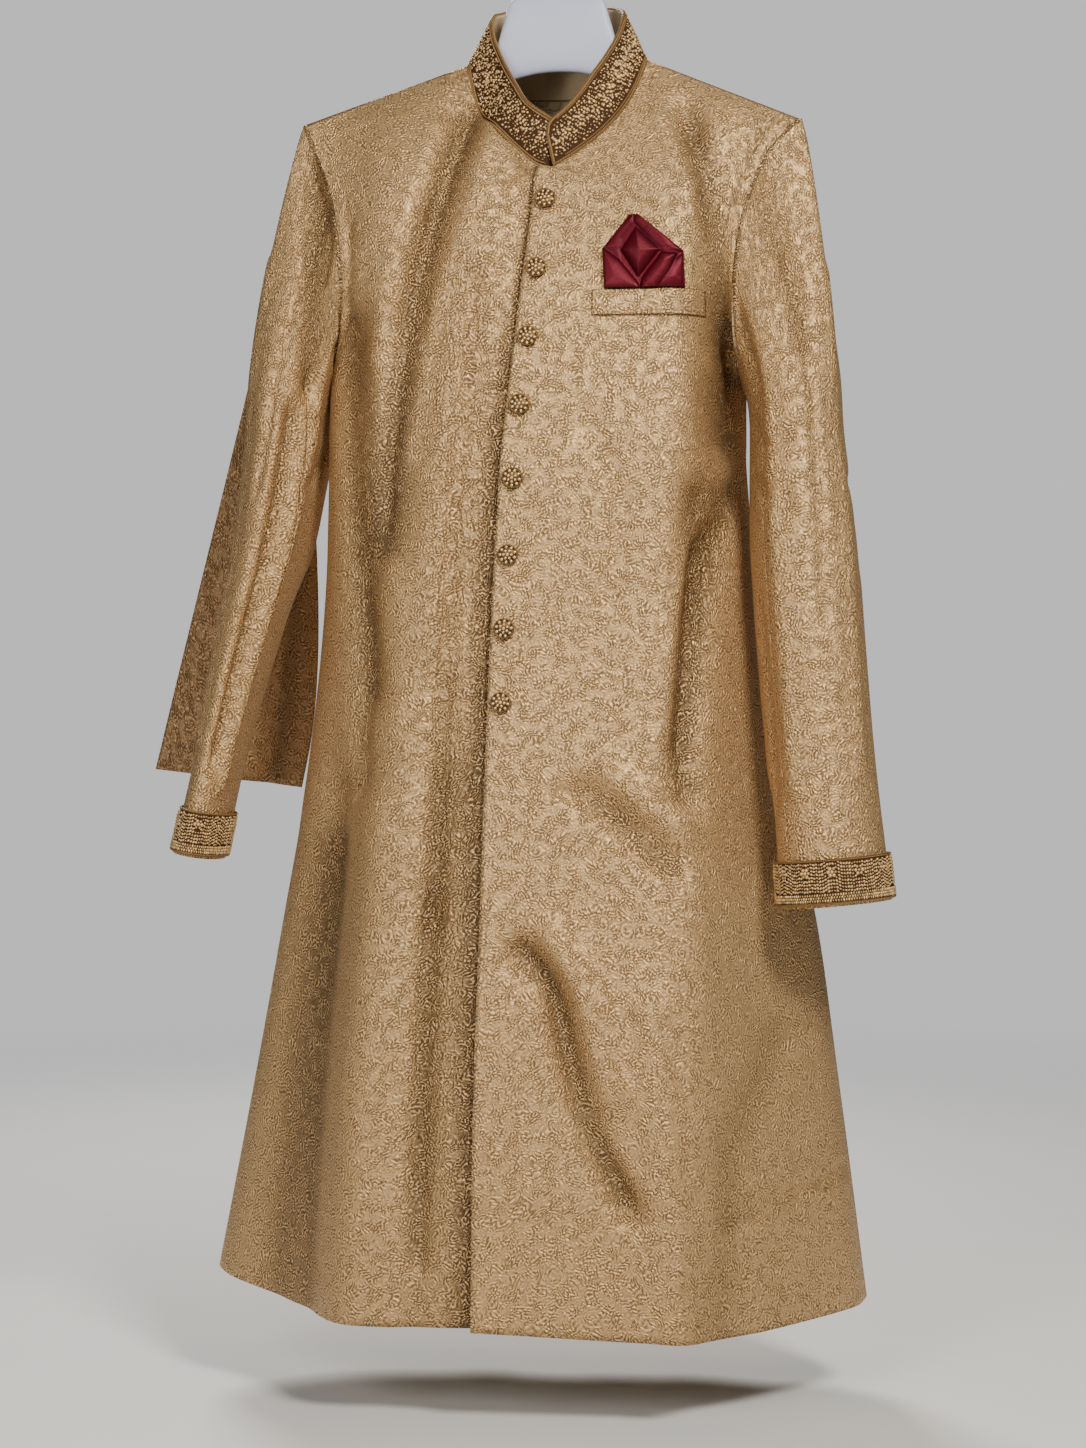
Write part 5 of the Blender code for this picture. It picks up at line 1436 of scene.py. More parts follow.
bead_out = unit(at_places(collar_out, base_index, places[:, 0]))
bead_along = unit(at_places(collar_base, base_index, places[:, 0] + 0.5) - bead_spots)
bead_down = np.cross(bead_out, bead_along)
flow = np.array([noise.noise(Vector(spot) * WHORLS) for spot in bead_spots]) * 6.0
flow += chance.normal(0.0, 0.35, len(flow))
bead_along = bead_along * np.cos(flow)[:, None] + bead_down * np.sin(flow)[:, None]
middle = np.exp(-(((places[:, 1] - BEADS_BIG[0]) / BEADS_BIG[1]) ** 2))
grown = 0.70 + 0.42 * middle * (0.65 + 0.35 * np.clip(bead_spots[:, 0] / 0.05, -1.0, 1.0))
make_beads(
    "collar_beads",
    "embroidery",
    bead_spots + bead_out * 0.0003,
    (bead_out, bead_along, grown[:, None] * (BEAD_LENGTH, BEAD_WIDTH, BEAD_THICK)),
    gilt_beads,
    Sides=6,
    Rings=4,
    Uneven=0.45,
    Seed=4,
)

# ---- the cuffs -----------------------------------------------------------------------------
# A stiff band round each sleeve's end in the collar's embroidery: slanting rows of small beads that
# meet in chevrons, a rosette of round beads in each, three level rows at the foot, corded borders.

CUFF_HEIGHT = 0.036
CUFF_SHOWS = 0.003  # plain sleeve below the cuff band
CUFF_CLEAR = 0.0007  # between the sleeve's faceted outer side and the band round it
CUFF_ROWS = 12
CUFF_TURNS = 96
CUFF_CORDS = ((0.0, 0.0011), (1.0, 0.0012))  # place, as a share of the height, and radius
CHEVRON_BEADS = 5  # in half of one
CHEVRON = 0.0245  # width of one chevron, about
CHEVRON_SLOPE = 0.80
CHEVRON_LINES = (-0.014, 0.030, 0.0028)  # where its lines start and end on the band, and their step
CHEVRONS_SHOW = (0.0020, 0.0268)  # between these distances from the band's top
ROSETTE_DOWN = 0.0100  # from the band's top to the middle of each rosette
ROSETTE_CLEAR = 0.0050  # no small bead lies nearer to its middle
PETALS = 6
PETAL_REACH = 0.0032
LEVEL_ROWS = (0.0288, 0.0312, 0.0335)  # three rows below the chevrons
LEVEL_STEP = 0.0022
SMALL_BEAD = (0.0034, 0.0023, 0.0021)
ROUND_BEAD = (0.0040, 0.0040, 0.0030)


def cuff_pattern(length):
    """Each bead of a cuff: how far round and down it lies, its turn and its size."""
    beads = []
    repeats = round(length / CHEVRON)
    width = length / repeats
    turn = math.atan(CHEVRON_SLOPE)
    for repeat in range(repeats):
        centre = repeat * width + width / 2
        for half in (-1.0, 1.0):
            for line in np.arange(*CHEVRON_LINES):
                for step in (np.arange(CHEVRON_BEADS) + 0.5) * width / 2 / CHEVRON_BEADS:
                    down = line + CHEVRON_SLOPE * step + 0.0007 * math.sin(step * 900 + repeat)
                    over = half * step
                    clear = math.hypot(over, down - ROSETTE_DOWN) >= ROSETTE_CLEAR
                    if clear and CHEVRONS_SHOW[0] < down < CHEVRONS_SHOW[1]:
                        beads.append((centre + over, down, half * turn, SMALL_BEAD))
        for petal in range(PETALS + 1):
            way = 2 * math.pi * petal / PETALS
            reach = 0.0 if petal == PETALS else PETAL_REACH
            spot = (centre + reach * math.cos(way), ROSETTE_DOWN + reach * math.sin(way))
            beads.append((*spot, 0.0, ROUND_BEAD))
    for number, down in enumerate(LEVEL_ROWS):
        for step in np.arange(0.0, length - 0.001, LEVEL_STEP):
            beads.append((step + (number == 1) * 0.001, down, math.pi / 2, SMALL_BEAD))
    return [np.array(column) for column in zip(*beads)]


def make_cuff(side, table, inner_sign):
    """The band round one sleeve's end, with its cords and beads."""
    turns = np.linspace(0.0, 1.0, CUFF_TURNS + 1)
    foot = table[-1].drop - CUFF_SHOWS
    outer, inner = [], []
    for share in np.linspace(0.0, 1.0, CUFF_ROWS):
        drop = foot - CUFF_HEIGHT * (1 - share)
        ring = sleeve_ring(table, inner_sign, drop, turns)
        out = unit(ring[:, :2] - row_at(table, drop)[:2])
        out = np.column_stack([out, np.zeros(len(ring))])
        inner.append(ring + out * CUFF_CLEAR)
        outer.append(ring + out * (CUFF_CLEAR + BAND))
    outer, inner = in_world(np.array(outer)), in_world(np.array(inner))
    wrapped = np.concatenate([outer[:, -2:-1], outer, outer[:, 1:2]], axis=1)
    middle = outer[:, :-1].mean(axis=1)
    outward = normals_of(wrapped, wrapped - middle[:, None])[:, 1:-1]
    round_way = reach_along(outer[CUFF_ROWS // 2])
    down_way = np.linspace(0.0, CUFF_HEIGHT, CUFF_ROWS)
    band = shell(
        f"{side}_cuff_ground",
        outer,
        inner,
        lambda centres: (centres - middle.mean(axis=0)) * (1, 1, 0),
        band_ground,
        np.stack(np.broadcast_arrays(round_way[None, :], -down_way[:, None]), axis=-1),
        around=True,
    )
    carried(band, "embroidery", f"{side}_cuff_band")
    columns = np.arange(CUFF_TURNS + 1.0)
    for number, (share, radius) in enumerate(CUFF_CORDS):
        rows = np.full(len(columns), share * (CUFF_ROWS - 1))
        out = unit(at_places(outward, rows, columns))
        line = at_places(outer, rows, columns) - out * 0.0004
        cord = tube(f"{side}_cuff_cord_{number + 1}", line, out, radius, piping_silk)
        carried(cord, "embroidery")

    over, down, angles, sizes = cuff_pattern(round_way[-1])
    columns = np.interp(over, round_way, np.arange(len(round_way)))
    rows = down / CUFF_HEIGHT * (CUFF_ROWS - 1)
    places = at_places(outer, rows, columns)
    out = unit(at_places(outward, rows, columns))
    along = unit(at_places(outer, rows, columns + 0.3) - places)
    below = unit(at_places(outer, rows + 0.3, columns) - places)
    along = along * np.cos(angles)[:, None] + below * np.sin(angles)[:, None]
    make_beads(
        f"{side}_cuff_beads",
        "embroidery",
        places + out * 0.0002,
        (out, along, sizes),
        gilt_beads,
        Sides=6,
        Rings=4,
        Uneven=0.32,
        Seed=9,
    )


make_cuff("right", RIGHT_SLEEVE, 1.0)
make_cuff("left", LEFT_SLEEVE, -1.0)

# ---- the buttons ---------------------------------------------------------------------------
# Eight gilt buttons with a shank, sewn through the left front's edge. Each has a raised rim and a
# domed rosette of beads round a centre bead, with an aged bronze ground in the grooves.

BUTTON_DROPS = (0.1341, 0.1961, 0.2566, 0.3158, 0.3791, 0.4448, 0.5080, 0.5711)
BUTTON_INSET = 0.0115  # from the front edge to a button's centre
ON_CLOTH = 0.0004  # between a button and the cloth's outer side
BUTTON_PROFILE = (  # radius, height: from the middle of the face over the rim to the shank's foot
    (0.0, 0.0046),
    (0.0030, 0.0045),
    (0.0055, 0.0038),
    (0.0070, 0.0030),
    (0.0076, 0.0032),
    (0.0083, 0.0038),
    (0.0089, 0.0034),
    (0.0090, 0.0026),
    (0.0082, 0.0018),
    (0.0050, 0.0013),
    (0.0027, 0.0012),
    (0.0026, 0.0),
    (0.0, 0.0),
)
BUTTON_TURNS = 28
BUTTON_COLOUR = (0.17, 0.095, 0.038)
ROSETTE_COLOUR = (0.84, 0.60, 0.31)
Ring = namedtuple("Ring", "reach count size height")
ROSETTE = (  # the dome's beads, from the middle out
    Ring(0.0, 1, 0.0036, 0.0052),
    Ring(0.0034, 6, 0.0028, 0.0046),
    Ring(0.0064, 9, 0.0032, 0.0036),
)


def metal_finish(name, colour, roughness, metallic=0.95):
    """Cast and gilt metal: bright where it is rubbed, bronze-dark in its hollows."""
    gilt = Finish(name)
    speck = gilt.grain(gilt.on_piece(), 420.0, 3.0)
    rubbed = gilt.node("ShaderNodeNewGeometry", {}, {}, "Pointiness")
    bright = gilt.between(rubbed, 0.46, 0.56)
    shade = gilt.mixed(bright * 0.8 + speck * 0.2, toned(colour, 0.25), colour)
    gilt.raised(speck, 0.00008)
    return gilt.set(base_color=shade, roughness=roughness + speck * 0.25, metallic=metallic)


def turned(profile, turns):
    """Points and quads of a profile turned about Z, its two ends on the axis."""
    angles = np.linspace(0.0, 2 * math.pi, turns + 1)[:-1]
    points = [(0.0, 0.0, profile[0][1])]
    for radius, height in profile[1:-1]:
        points += [(radius * math.cos(a), radius * math.sin(a), height) for a in angles]
    points.append((0.0, 0.0, profile[-1][1]))
    faces = []
    for turn in range(turns):
        beside = (turn + 1) % turns
        faces.append((0, 1 + turn, 1 + beside))
        for ring in range(len(profile) - 3):
            first = 1 + ring * turns
            below = first + turns
            faces.append((first + turn, below + turn, below + beside, first + beside))
        last = 1 + (len(profile) - 3) * turns
        faces.append((last + turn, len(points) - 1, last + beside))
    return np.array(points), faces


def smooth_piece(name, points, faces, finish):
    mesh = bpy.data.meshes.new(name)
    mesh.from_pydata(points.tolist(), [], faces)
    mesh.shade_smooth()
    mesh.materials.append(finish)
    return placed(name, mesh)


def beside_edge_at(drop, inset, above=0.0):
    """Where the left front lies this far in from its edge, and which way it faces there."""
    edge = left_front_grid[::-1, 0]
    edge_x = float(np.interp(NECK_Z - drop, edge[:, 2], edge[:, 0]))
    return met_from_front(left_surface, edge_x + inset, NECK_Z - drop + above)


button_points, button_faces = turned(BUTTON_PROFILE, BUTTON_TURNS)
all_points, all_faces = [], []
spots, facings, alongs, sizes = [], [], [], []
for number, drop in enumerate(BUTTON_DROPS):
    spot, outward = beside_edge_at(drop, BUTTON_INSET)
    turn = np.array(outward.to_track_quat("Z", "Y").to_matrix())
    foot = np.array(spot) + np.array(outward) * ON_CLOTH
    offset = number * len(button_points)
    all_points.append(button_points @ turn.T + foot)
    all_faces += [tuple(index + offset for index in face) for face in button_faces]
    for ring in ROSETTE:
        for bead in range(ring.count):
            angle = 2 * math.pi * bead / ring.count + drop * 40
            out = np.array([math.cos(angle), math.sin(angle), 0.0])
            spots.append((out * ring.reach + (0.0, 0.0, ring.height)) @ turn.T + foot)
            facings.append(turn[:, 2])
            alongs.append(out @ turn.T)
            longer = 1.15 if ring.reach else 1.0
            sizes.append((ring.size * longer, ring.size, ring.size * 0.8))
button_shells = smooth_piece(
    "button_shells",
    np.concatenate(all_points),
    all_faces,
    metal_finish("button_gilt", BUTTON_COLOUR, 0.36),
)
button_nodes = [f"button_{number + 1}" for number in range(len(BUTTON_DROPS))]
carried(button_shells, "button_metal", *button_nodes)
make_beads(
    "button_rosettes",
    "button_metal",
    spots,
    (facings, alongs, sizes),
    bead_finish("button_beads", ROSETTE_COLOUR, 0.30, 0.85),
    Sides=8,
    Rings=5,
    Uneven=0.10,
    Seed=2,
)

# ---- the breast pocket ---------------------------------------------------------------------
# A welt of the coat's brocade, pressed and stitched down all round, and behind it a square of dark
# red silk satin, folded to a rosette: a puffed heart between two bands, its corners laid over it.

LAID_BACK = 0.0002  # from the cloth's outer side to the back of the pocket's pieces
WELT_LEFT, WELT_RIGHT = 0.0420, 0.1380
WELT_TOP, WELT_BOTTOM = 0.2155, 0.2385
WELT_EDGE, WELT_THICK = 0.0007, 0.0028  # how far its edge and the rest of it stand off
WELT_STITCH = (0.0007, 0.0028, 0.0008)  # depth of its stitched line, place from the edge, width
WELT_SHADOW_LINE = 0.0009  # width of the painted shadow along its edge
SQUARE_OUTLINE = (  # across the chest, drop: the outline of the folded satin above the welt
    (0.0525, 0.2150),
    (0.0500, 0.1800),
    (0.0730, 0.1500),
    (0.0800, 0.1495),
    (0.1205, 0.1835),
    (0.1220, 0.2150),
)
WELT_GRID = (25, 97)
WELT_ROUND = 0.0016
WELT_WEAVE = (0.31, -0.23)  # where the welt's cloth was cut from the length
SATIN_GRID = (92, 104)
SATIN_ROUND = 0.0022
SATIN_CORNER = (0.0525, 0.2150)  # the lower corner from which the folds are set out
# Each layer of folded satin: its outline in mm from that corner, the height of its edge and its
# crown, and how soon it rises from the one to the other.
Layer = namedtuple("Layer", "edge crown run outline")
SATIN_LAYERS = (
    Layer(0.4, 1.6, 3.0, ((-4, -2), (-4, 34), (22, 68), (32, 68), (72, 34), (72, -2))),
    Layer(1.6, 3.4, 4.0, ((24.5, 66), (25, 57), (15, 43), (13, 24), (7, 32), (-2, 35), (12, 56))),
    Layer(1.8, 4.2, 4.5, ((25, 66), (33, 67), (70, 31), (52, 27), (24.5, 58))),
    Layer(3.2, 9.6, 7.0, ((27.1, 53), (48.0, 33), (29.5, 9.5), (14.2, 33))),
    Layer(5.2, 10.2, 6.5, ((27.6, 48), (42.0, 33), (30.0, 17), (19.0, 33))),
    Layer(2.6, 5.4, 5.0, ((72, 33), (73, -2), (42, -2), (47, 12))),
    Layer(3.6, 6.6, 4.5, ((-3, 37), (13, 24), (29.5, 4), (31.5, -2), (-3, -2))),
    Layer(4.2, 7.2, 3.6, ((50, 30), (63, 29), (56, 12), (45, -2), (30, -2), (35, 11))),
    Layer(4.8, 6.6, 2.0, ((33, 8), (39, 5), (41, -2), (34, -2))),
)
SATIN_COLOUR = (0.098, 0.0031, 0.0105)
SATIN_RIB = 0.0006
THREAD_COLOUR = (0.46, 0.31, 0.15)
BUTTONHOLE = (0.0096, 0.0165)  # from a button's centre to its buttonhole's start and end
STITCH_STEP = 0.0006
STITCH_ROWS = (-0.0009, 0.0009)  # below and above the buttonhole's middle
STITCH = (0.0016, 0.0006, 0.0006)


def laid_on_front(xs, drops, height):
    """A grid of points this far in front of the left front's outer side."""
    grid = np.empty(xs.shape + (3,))
    for place in np.ndindex(xs.shape):
        point = met_from_front(left_surface, xs[place], NECK_Z - drops[place])[0]
        grid[place] = (point.x, point.y - height[place], point.z)
    return grid


def bulged(to_edge, width):
    """How high a rounded edge has risen, from 0 at the edge to 1 at this distance from it."""
    return np.sqrt(np.clip(1 - (1 - np.clip(to_edge / width, 0.0, 1.0)) ** 2, 0.0, 1.0))


def softened(grid, passes):
    """The grid's heights eased towards their neighbours."""
    for _ in range(passes):
        padded = np.pad(grid, 1, mode="edge")
        beside = padded[:-2, 1:-1] + padded[2:, 1:-1] + padded[1:-1, :-2] + padded[1:-1, 2:]
        grid = (beside + 4 * grid) / 8
    return grid


def inside_by(spots, outline):
    """How far inside an outline each spot lies, and 0 outside it."""
    outline = np.array(outline, float)
    nearest = np.full(len(spots), np.inf)
    inside = np.zeros(len(spots), bool)
    for start, end in zip(outline, np.roll(outline, -1, axis=0)):
        leg = end - start
        share = np.clip(((spots - start) @ leg) / (leg @ leg), 0.0, 1.0)
        nearest = np.minimum(nearest, np.linalg.norm(spots - start - share[:, None] * leg, axis=1))
        crosses = (start[1] > spots[:, 1]) != (end[1] > spots[:, 1])
        with np.errstate(divide="ignore", invalid="ignore"):
            at = start[0] + (spots[:, 1] - start[1]) * leg[0] / leg[1]
        inside ^= crosses & (spots[:, 0] < at)
    return np.where(inside, nearest, 0.0)


def satin_finish():
    """Silk satin: a soft warp-faced sheen with a fine rib and faint slubs, darkened away from the
    crowns of its folds as painted shade.
    """
    silk = Finish("dark_red_satin")
    spot = silk.on_map("cloth")
    slub = silk.grain(silk.vector("MULTIPLY", spot, (900.0, 70.0, 1.0)), 1.0, 2.0)
    rib = (silk.part(spot, "X") * (2 * math.pi / SATIN_RIB)).math("SINE")
    crown = silk.part(silk.on_map("relief"), "X")
    # painted shade: the satin darkens from its folds' crowns to its low parts
    lit = silk.mixed(crown, toned(SATIN_COLOUR, 0.12), SATIN_COLOUR)
    colour = silk.mixed(slub * 0.4, lit, toned(SATIN_COLOUR, 1.5))
    silk.raised(rib * 0.3 + slub, 0.00006)
    return silk.set(
        base_color=colour,
        roughness=0.33 + slub * 0.15,
        metallic=0.40,
        specular_ior_level=0.2,
    )


welt_x, welt_drop = np.meshgrid(
    np.linspace(WELT_LEFT, WELT_RIGHT, WELT_GRID[1]),
    np.linspace(WELT_TOP, WELT_BOTTOM, WELT_GRID[0]),
)
to_welt_edge = np.minimum.reduce(
    [welt_x - WELT_LEFT, WELT_RIGHT - welt_x, welt_drop - WELT_TOP, WELT_BOTTOM - welt_drop]
)
stitch_depth, stitch_place, stitch_width = WELT_STITCH
stitched = stitch_depth * np.exp(-(((to_welt_edge - stitch_place) / stitch_width) ** 2))
welt_height = WELT_EDGE + WELT_THICK * bulged(to_welt_edge, WELT_ROUND) - stitched
welt_grid = laid_on_front(welt_x, welt_drop, welt_height)
# painted shadow along the welt's edge and painted shade in its stitched groove, carried on its
# relief map
welt_painted_shade = RELIEF_REST - 2.2 * np.exp(-((to_welt_edge / WELT_SHADOW_LINE) ** 2)) - 900.0 * stitched
welt = shell(
    "welt_cloth",
    welt_grid,
    laid_on_front(welt_x, welt_drop, np.full_like(welt_x, LAID_BACK)),
    forward,
    coat_brocade,
    cloth_lengths(welt_grid) + WELT_WEAVE,
    np.stack([welt_painted_shade, np.full_like(welt_painted_shade, 0.2)], axis=-1),
)
carried(welt, "brocade", "pocket_welt")

drops = np.linspace(SQUARE_OUTLINE[2][1] + 0.0002, SATIN_CORNER[1], SATIN_GRID[0])
near_edge, far_edge = [
    np.interp(drops, *np.array(points)[::-1].T[::-1])[:, None]
    for points in (SQUARE_OUTLINE[:3], SQUARE_OUTLINE[:2:-1])
]
across = np.linspace(0.0, 1.0, SATIN_GRID[1])
satin_x = near_edge + (far_edge - near_edge) * across
satin_drop = np.repeat(drops[:, None], SATIN_GRID[1], axis=1)
satin_spots = np.column_stack(
    [(satin_x.ravel() - SATIN_CORNER[0]) * 1000, (SATIN_CORNER[1] - satin_drop.ravel()) * 1000]
)
satin_rise = np.zeros(len(satin_spots))
satin_crown = np.zeros(len(satin_spots))
for layer in SATIN_LAYERS:
    inset = inside_by(satin_spots, layer.outline)
    crown = 1 - np.exp(-inset / layer.run)
    height = np.where(inset > 0, layer.edge + (layer.crown - layer.edge) * crown, 0.0)
    over = height > satin_rise
    satin_rise = np.where(over, height, satin_rise)
    satin_crown = np.where(over, crown, satin_crown)
satin_rise = softened(satin_rise.reshape(SATIN_GRID), 2)
satin_crown = softened(satin_crown.reshape(SATIN_GRID), 1)
to_satin_edge = np.minimum(across, 1 - across) * (far_edge - near_edge)
to_satin_edge = np.minimum(to_satin_edge, (drops - drops[0])[:, None] + 0.0004)
rounding = bulged(to_satin_edge, SATIN_ROUND)
satin_height = 0.0008 + satin_rise * 0.001 * (0.25 + 0.75 * rounding)
satin_grid = laid_on_front(satin_x, satin_drop, satin_height)
satin = shell(
    "satin_square",
    satin_grid,
    laid_on_front(satin_x, satin_drop, np.full_like(satin_x, LAID_BACK)),
    forward,
    satin_finish(),
    cloth_lengths(satin_grid),
    # the relief map carries the crowns from which the satin's painted shade falls away
    np.stack([np.clip(0.15 + 1.1 * satin_crown, 0.0, 1.0), np.zeros(SATIN_GRID)], axis=-1),
)
carried(satin, "satin", "pocket_square")

spots, facings = [], []
for drop in BUTTON_DROPS:
    for above in STITCH_ROWS:
        for step in np.arange(*BUTTONHOLE, STITCH_STEP):
            point, normal = beside_edge_at(drop, BUTTON_INSET + step, above)
            spots.append(point + normal * 0.0001)
            facings.append(normal)
make_beads(
    "buttonhole_stitches",
    "brocade",
    spots,
    (facings, [(0.0, 0.0, 1.0)] * len(spots), [STITCH] * len(spots)),
    bead_finish("buttonhole_silk", THREAD_COLOUR, 0.5, 0.1),
    Sides=5,
    Rings=3,
    Uneven=0.15,
    Seed=5,
)

# ---- the hanging panel ---------------------------------------------------------------------
# A plain-cut length of the same brocade, caught into the back of the right armhole and hanging free
# behind the sleeve. Its weave runs on the slant, and its long edges are turned and pressed.

HangPoint = namedtuple("HangPoint", "x y drop")
PANEL_TOP = (HangPoint(-0.2290, -0.001, 0.068), HangPoint(-0.2190, 0.052, 0.150))
PANEL_FOOT = (HangPoint(-0.3890, 0.078, 0.631), HangPoint(-0.2530, 0.094, 0.648))
PANEL_SEAT = 0.0027  # from the armhole's cloth to the panel's sewn edge, over the bulge there
PANEL_CLEAR = 0.006  # how much further back it hangs below
PANEL_LEAVES = (-0.26, 0.10, 1.0)  # the way that it leaves the armhole, for its height
PANEL_ARRIVES = (-0.25, 0.02, 1.0)  # and the way that it hangs at its foot
PANEL_ROWS = 13
PANEL_COLUMNS = 9
PANEL_FOLDS = folds_in_mm(
    (-6, 14, (-250, 220), (-290, 440), (-320, 650)),
    (6, 12, (-235, 260), (-262, 460), (-285, 650)),
)
# darker copies of the coat's brocade colours, as painted shade for the panel hanging behind the
# sleeve
PANEL_SHADED_COLOURS = ((0.380, 0.235, 0.115), (0.090, 0.045, 0.020))

panel_top = path_points(PANEL_TOP, PANEL_COLUMNS)
panel_foot = path_points(PANEL_FOOT, PANEL_COLUMNS)
panel_height = (panel_foot - panel_top)[:, 2:]
panel_leave = np.array(PANEL_LEAVES) * panel_height
panel_arrive = np.array(PANEL_ARRIVES) * panel_height
panel_flat = finer(hung(panel_top, panel_leave, panel_foot, panel_arrive, PANEL_ROWS), 4, 7)
panel_grid = in_world(folded(panel_flat, PANEL_FOLDS, (0, 1, 0), np.ones(panel_flat.shape[1])))
backing = [
    surface_of(bpy.data.objects[name + "_cloth"])
    for name in ("right_top_sleeve", "right_under_sleeve", "back")
]
for place in np.ndindex(panel_grid.shape[:2]):
    x, y, z = panel_grid[place]
    clear = CLOTH + PANEL_SEAT + PANEL_CLEAR * min(1.0, 3 * place[0] / (len(panel_grid) - 1))
    start, ahead = Vector((x, 1.0, z)), Vector((0.0, -1.0, 0.0))
    hits = [surface.ray_cast(start, ahead)[0] for surface in backing]
    behind = [hit.y + clear for hit in hits if hit is not None]
    if behind:
        panel_grid[place][1] = max(behind) if place[0] == 0 else max(behind + [y])
panel_out = normals_of(panel_grid, (0, 1, 0))
panel_cloth = cloth_lengths(panel_grid)
along, down = panel_cloth[..., 0], panel_cloth[..., 1]
slanted = np.stack([along + down, down - along], axis=-1) * 0.7071
panel_relief = fold_height(panel_flat[..., 0], panel_flat[..., 2], PANEL_FOLDS) * 100 + RELIEF_REST
hanging_panel = shell(
    "hanging_panel_cloth",
    panel_grid,
    panel_grid - panel_out * CLOTH,
    backward,
    brocade("panel_brocade", *PANEL_SHADED_COLOURS),
    slanted,
    np.stack([panel_relief, np.zeros_like(panel_relief)], axis=-1),
)
declared(hanging_panel, "hanging_panel")

# ---- the hanger ----------------------------------------------------------------------------
# One broad pale plastic moulding with rounded edges, its arms shaped to the shoulders, and a bent
# steel wire hook that stands in it through a small brass ferrule.

HangerSection = namedtuple("HangerSection", "reach top foot thick")
HANGER_NECK = (
    HangerSection(0.000, -0.0590, 0.0090, 0.013),
    HangerSection(0.020, -0.0585, 0.0105, 0.013),
    HangerSection(0.040, -0.0560, 0.0155, 0.013),
    HangerSection(0.0475, -0.0370, 0.0200, 0.012),
    HangerSection(0.0550, -0.0130, 0.0260, 0.012),
    HangerSection(0.0680, 0.0095, 0.0370, 0.010),
    HangerSection(0.0800, 0.0205, 0.0440, 0.011),
)
HangerArm = namedtuple("HangerArm", "reach height thick")
HANGER_ARM = (
    HangerArm(0.0950, 0.034, 0.020),
    HangerArm(0.1250, 0.033, 0.024),
    HangerArm(0.1600, 0.031, 0.020),
    HangerArm(0.1830, 0.029, 0.012),
    HangerArm(0.1930, 0.022, 0.008),
)
BELOW_SHOULDERS = 0.14  # a drop that is clear of the hanger, inside the coat
ARM_CLEAR = 0.0012  # between an arm and the cloth that rests on it
HANGER_SIDES = 16
HANGER_SQUARENESS = 0.75  # exponent that makes its sections rounded boxes
HOOK_WIRE = 0.0018  # radius
HOOK_BEND = 0.0215  # radius of the wire's centre line
HOOK_STEM = (  # x, z: from the ferrule up to the bend
    (0.0, -0.0714),
    (0.0, -0.0630),
    (0.0006, -0.0540),
    (0.0090, -0.0425),
    (0.0183, -0.0310),
)
HOOK_ARC = (-10.0, 195.0)  # degrees at which the bend starts and ends
HOOK_STEPS = 120
FERRULE_HEIGHT = 0.004
FERRULE_PROFILE = (  # radius, height
    (0.0, FERRULE_HEIGHT),
    (0.0032, FERRULE_HEIGHT),
    (0.0040, FERRULE_HEIGHT * 0.92),
    (0.0044, FERRULE_HEIGHT * 0.62),
    (0.0058, FERRULE_HEIGHT * 0.52),
    (0.0064, FERRULE_HEIGHT * 0.38),
    (0.0065, 0.0006),
    (0.0060, 0.0),
    (0.0, 0.0),
)
FERRULE_TURNS = 40
PLASTIC_COLOURS = ((0.470, 0.490, 0.610), (0.540, 0.560, 0.680))
STEEL_COLOUR = (0.60, 0.60, 0.62)
BRASS_COLOUR = (0.62, 0.44, 0.18)


def hanger_half(start, end, side):
    """Sections out to one end, under a shoulder seam: x, y, top, foot, thickness."""
    sections = [[side * row.reach, 0.0, row.top, row.foot, row.thick] for row in HANGER_NECK]
    for row in HANGER_ARM:
        way = (row.reach - abs(start.x)) / (abs(end.x) - abs(start.x))
        y = start.y + (end.y - start.y) * way
        top = start.drop + (end.drop - start.drop) * way + CLOTH + ARM_CLEAR
        sections.append([side * row.reach, y, top, top + row.height, row.thick])
    return sections


def squared(wave):
    """A cosine or sine of a round section's angles, drawn out towards a rounded box."""
    return np.sign(wave) * np.abs(wave) ** HANGER_SQUARENESS


hanger_rows = hanger_half(RIGHT_NECK[-1], RIGHT_ARMHOLE[0], -1.0)[:0:-1]
hanger_rows += hanger_half(LEFT_NECK[-1], LEFT_ARMHOLE[0], 1.0)
hanger_turns = 2 * math.pi * np.arange(HANGER_SIDES) / HANGER_SIDES
across, upright = squared(np.cos(hanger_turns)), squared(np.sin(hanger_turns))
hanger_rings = []
for x, y, top, foot, thick in hanger_rows:
    drops = (top + foot) / 2 - upright * ((foot - top) / 2)
    ring = np.column_stack([np.full(HANGER_SIDES, x), y + across * thick / 2, drops])
    hanger_rings.append(ring)
hanger_grid = in_world(np.array(hanger_rings))
hanger_grid = np.concatenate([hanger_grid[:, -2:], hanger_grid, hanger_grid[:, :3]], axis=1)
hanger_grid = finer(hanger_grid, 3, 5)[:, 6:-6]
shoulders = [surface_of(piece) for piece in (left_front, right_front, back)]
for place in np.ndindex(hanger_grid.shape[:2]):
    x, y, z = hanger_grid[place]
    start, upwards = Vector((x, y, NECK_Z - BELOW_SHOULDERS)), Vector((0.0, 0.0, 1.0))
    for surface in shoulders:
        hit = surface.ray_cast(start, upwards)[0]
        if hit is not None:
            hanger_grid[place][2] = min(hanger_grid[place][2], hit.z - ARM_CLEAR)
moulding = bmesh.new()
rows, columns = hanger_grid.shape[0], hanger_grid.shape[1] - 1
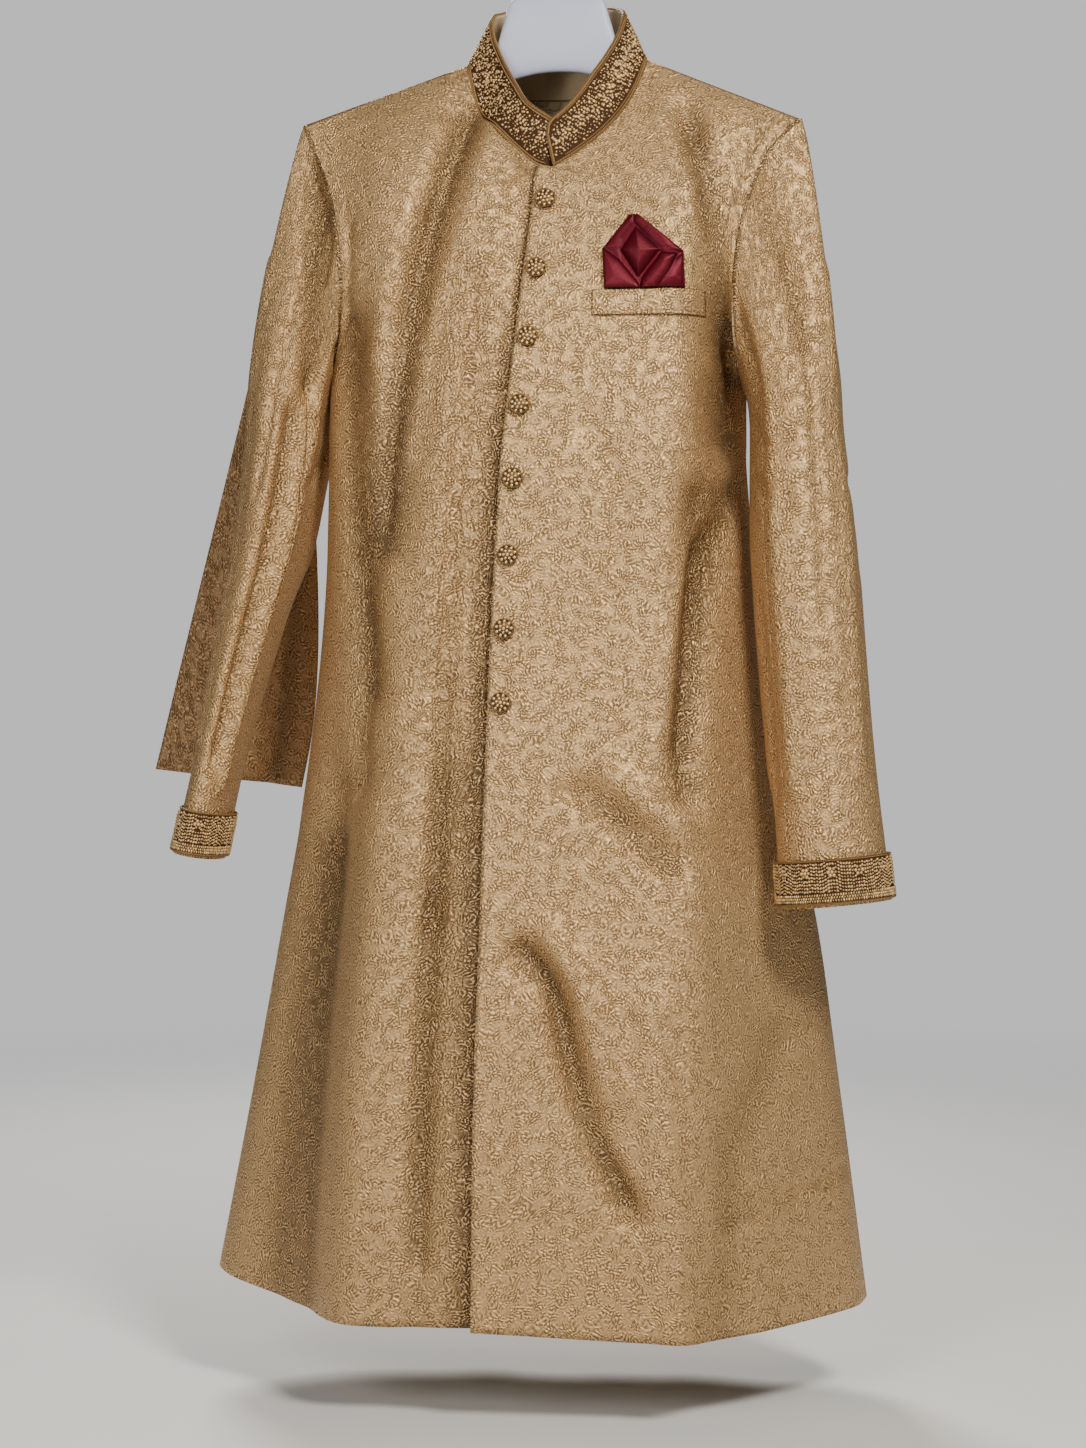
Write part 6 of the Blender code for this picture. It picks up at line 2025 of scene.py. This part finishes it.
verts = [moulding.verts.new(Vector(point)) for point in hanger_grid[:, :-1].reshape(-1, 3)]
for first in range(0, (rows - 1) * columns, columns):
    for column in range(columns):
        beside = (column + 1) % columns
        after = first + columns
        corners = (first + column, first + beside, after + beside, after + column)
        moulding.faces.new([verts[index] for index in corners])
moulding.faces.new(verts[:columns])
moulding.faces.new(verts[-columns:])
bmesh.ops.recalc_face_normals(moulding, faces=moulding.faces)
hanger_mesh = bpy.data.meshes.new("hanger_moulding")
moulding.to_mesh(hanger_mesh)
moulding.free()
hanger_mesh.shade_smooth()
plastic = Finish("pale_moulded_plastic")
spot = plastic.on_piece()
cloud = plastic.grain(spot, 26.0, 3.0)
plastic.raised(plastic.grain(spot, 950.0, 1.0), 0.00006)
hanger_mesh.materials.append(
    plastic.set(
        base_color=plastic.mixed(cloud, *PLASTIC_COLOURS),
        roughness=0.36 + cloud * 0.15,
        subsurface_weight=0.05,
        subsurface_radius=[0.004, 0.004, 0.005],
    )
)
carried(placed("hanger_moulding", hanger_mesh), "moulded_plastic", "hanger")

bend_z = HOOK_WIRE - HOOK_BEND
arc = np.radians(np.linspace(*HOOK_ARC, 12))
hook_way = [(x, 0.0, z) for x, z in HOOK_STEM]
hook_way += [(HOOK_BEND * math.cos(a), 0.0, bend_z + HOOK_BEND * math.sin(a)) for a in arc]
hook_points = path_points(hook_way, HOOK_STEPS)
hook_out = np.tile((0.0, -1.0, 0.0), (HOOK_STEPS, 1))
steel = metal_finish("bright_steel", STEEL_COLOUR, 0.22, 1.0)
hook = tube("hook_wire", hook_points, hook_out, HOOK_WIRE, steel, 16)
carried(hook, "steel", "hook")

ferrule_foot = NECK_Z - HANGER_NECK[0].top + SEAM
ferrule_points, ferrule_faces = turned(FERRULE_PROFILE, FERRULE_TURNS)
ferrule = smooth_piece(
    "brass_ferrule",
    ferrule_points + (0.0, 0.0, ferrule_foot),
    ferrule_faces,
    metal_finish("brass", BRASS_COLOUR, 0.26, 1.0),
)
carried(ferrule, "brass", "hook_ferrule")
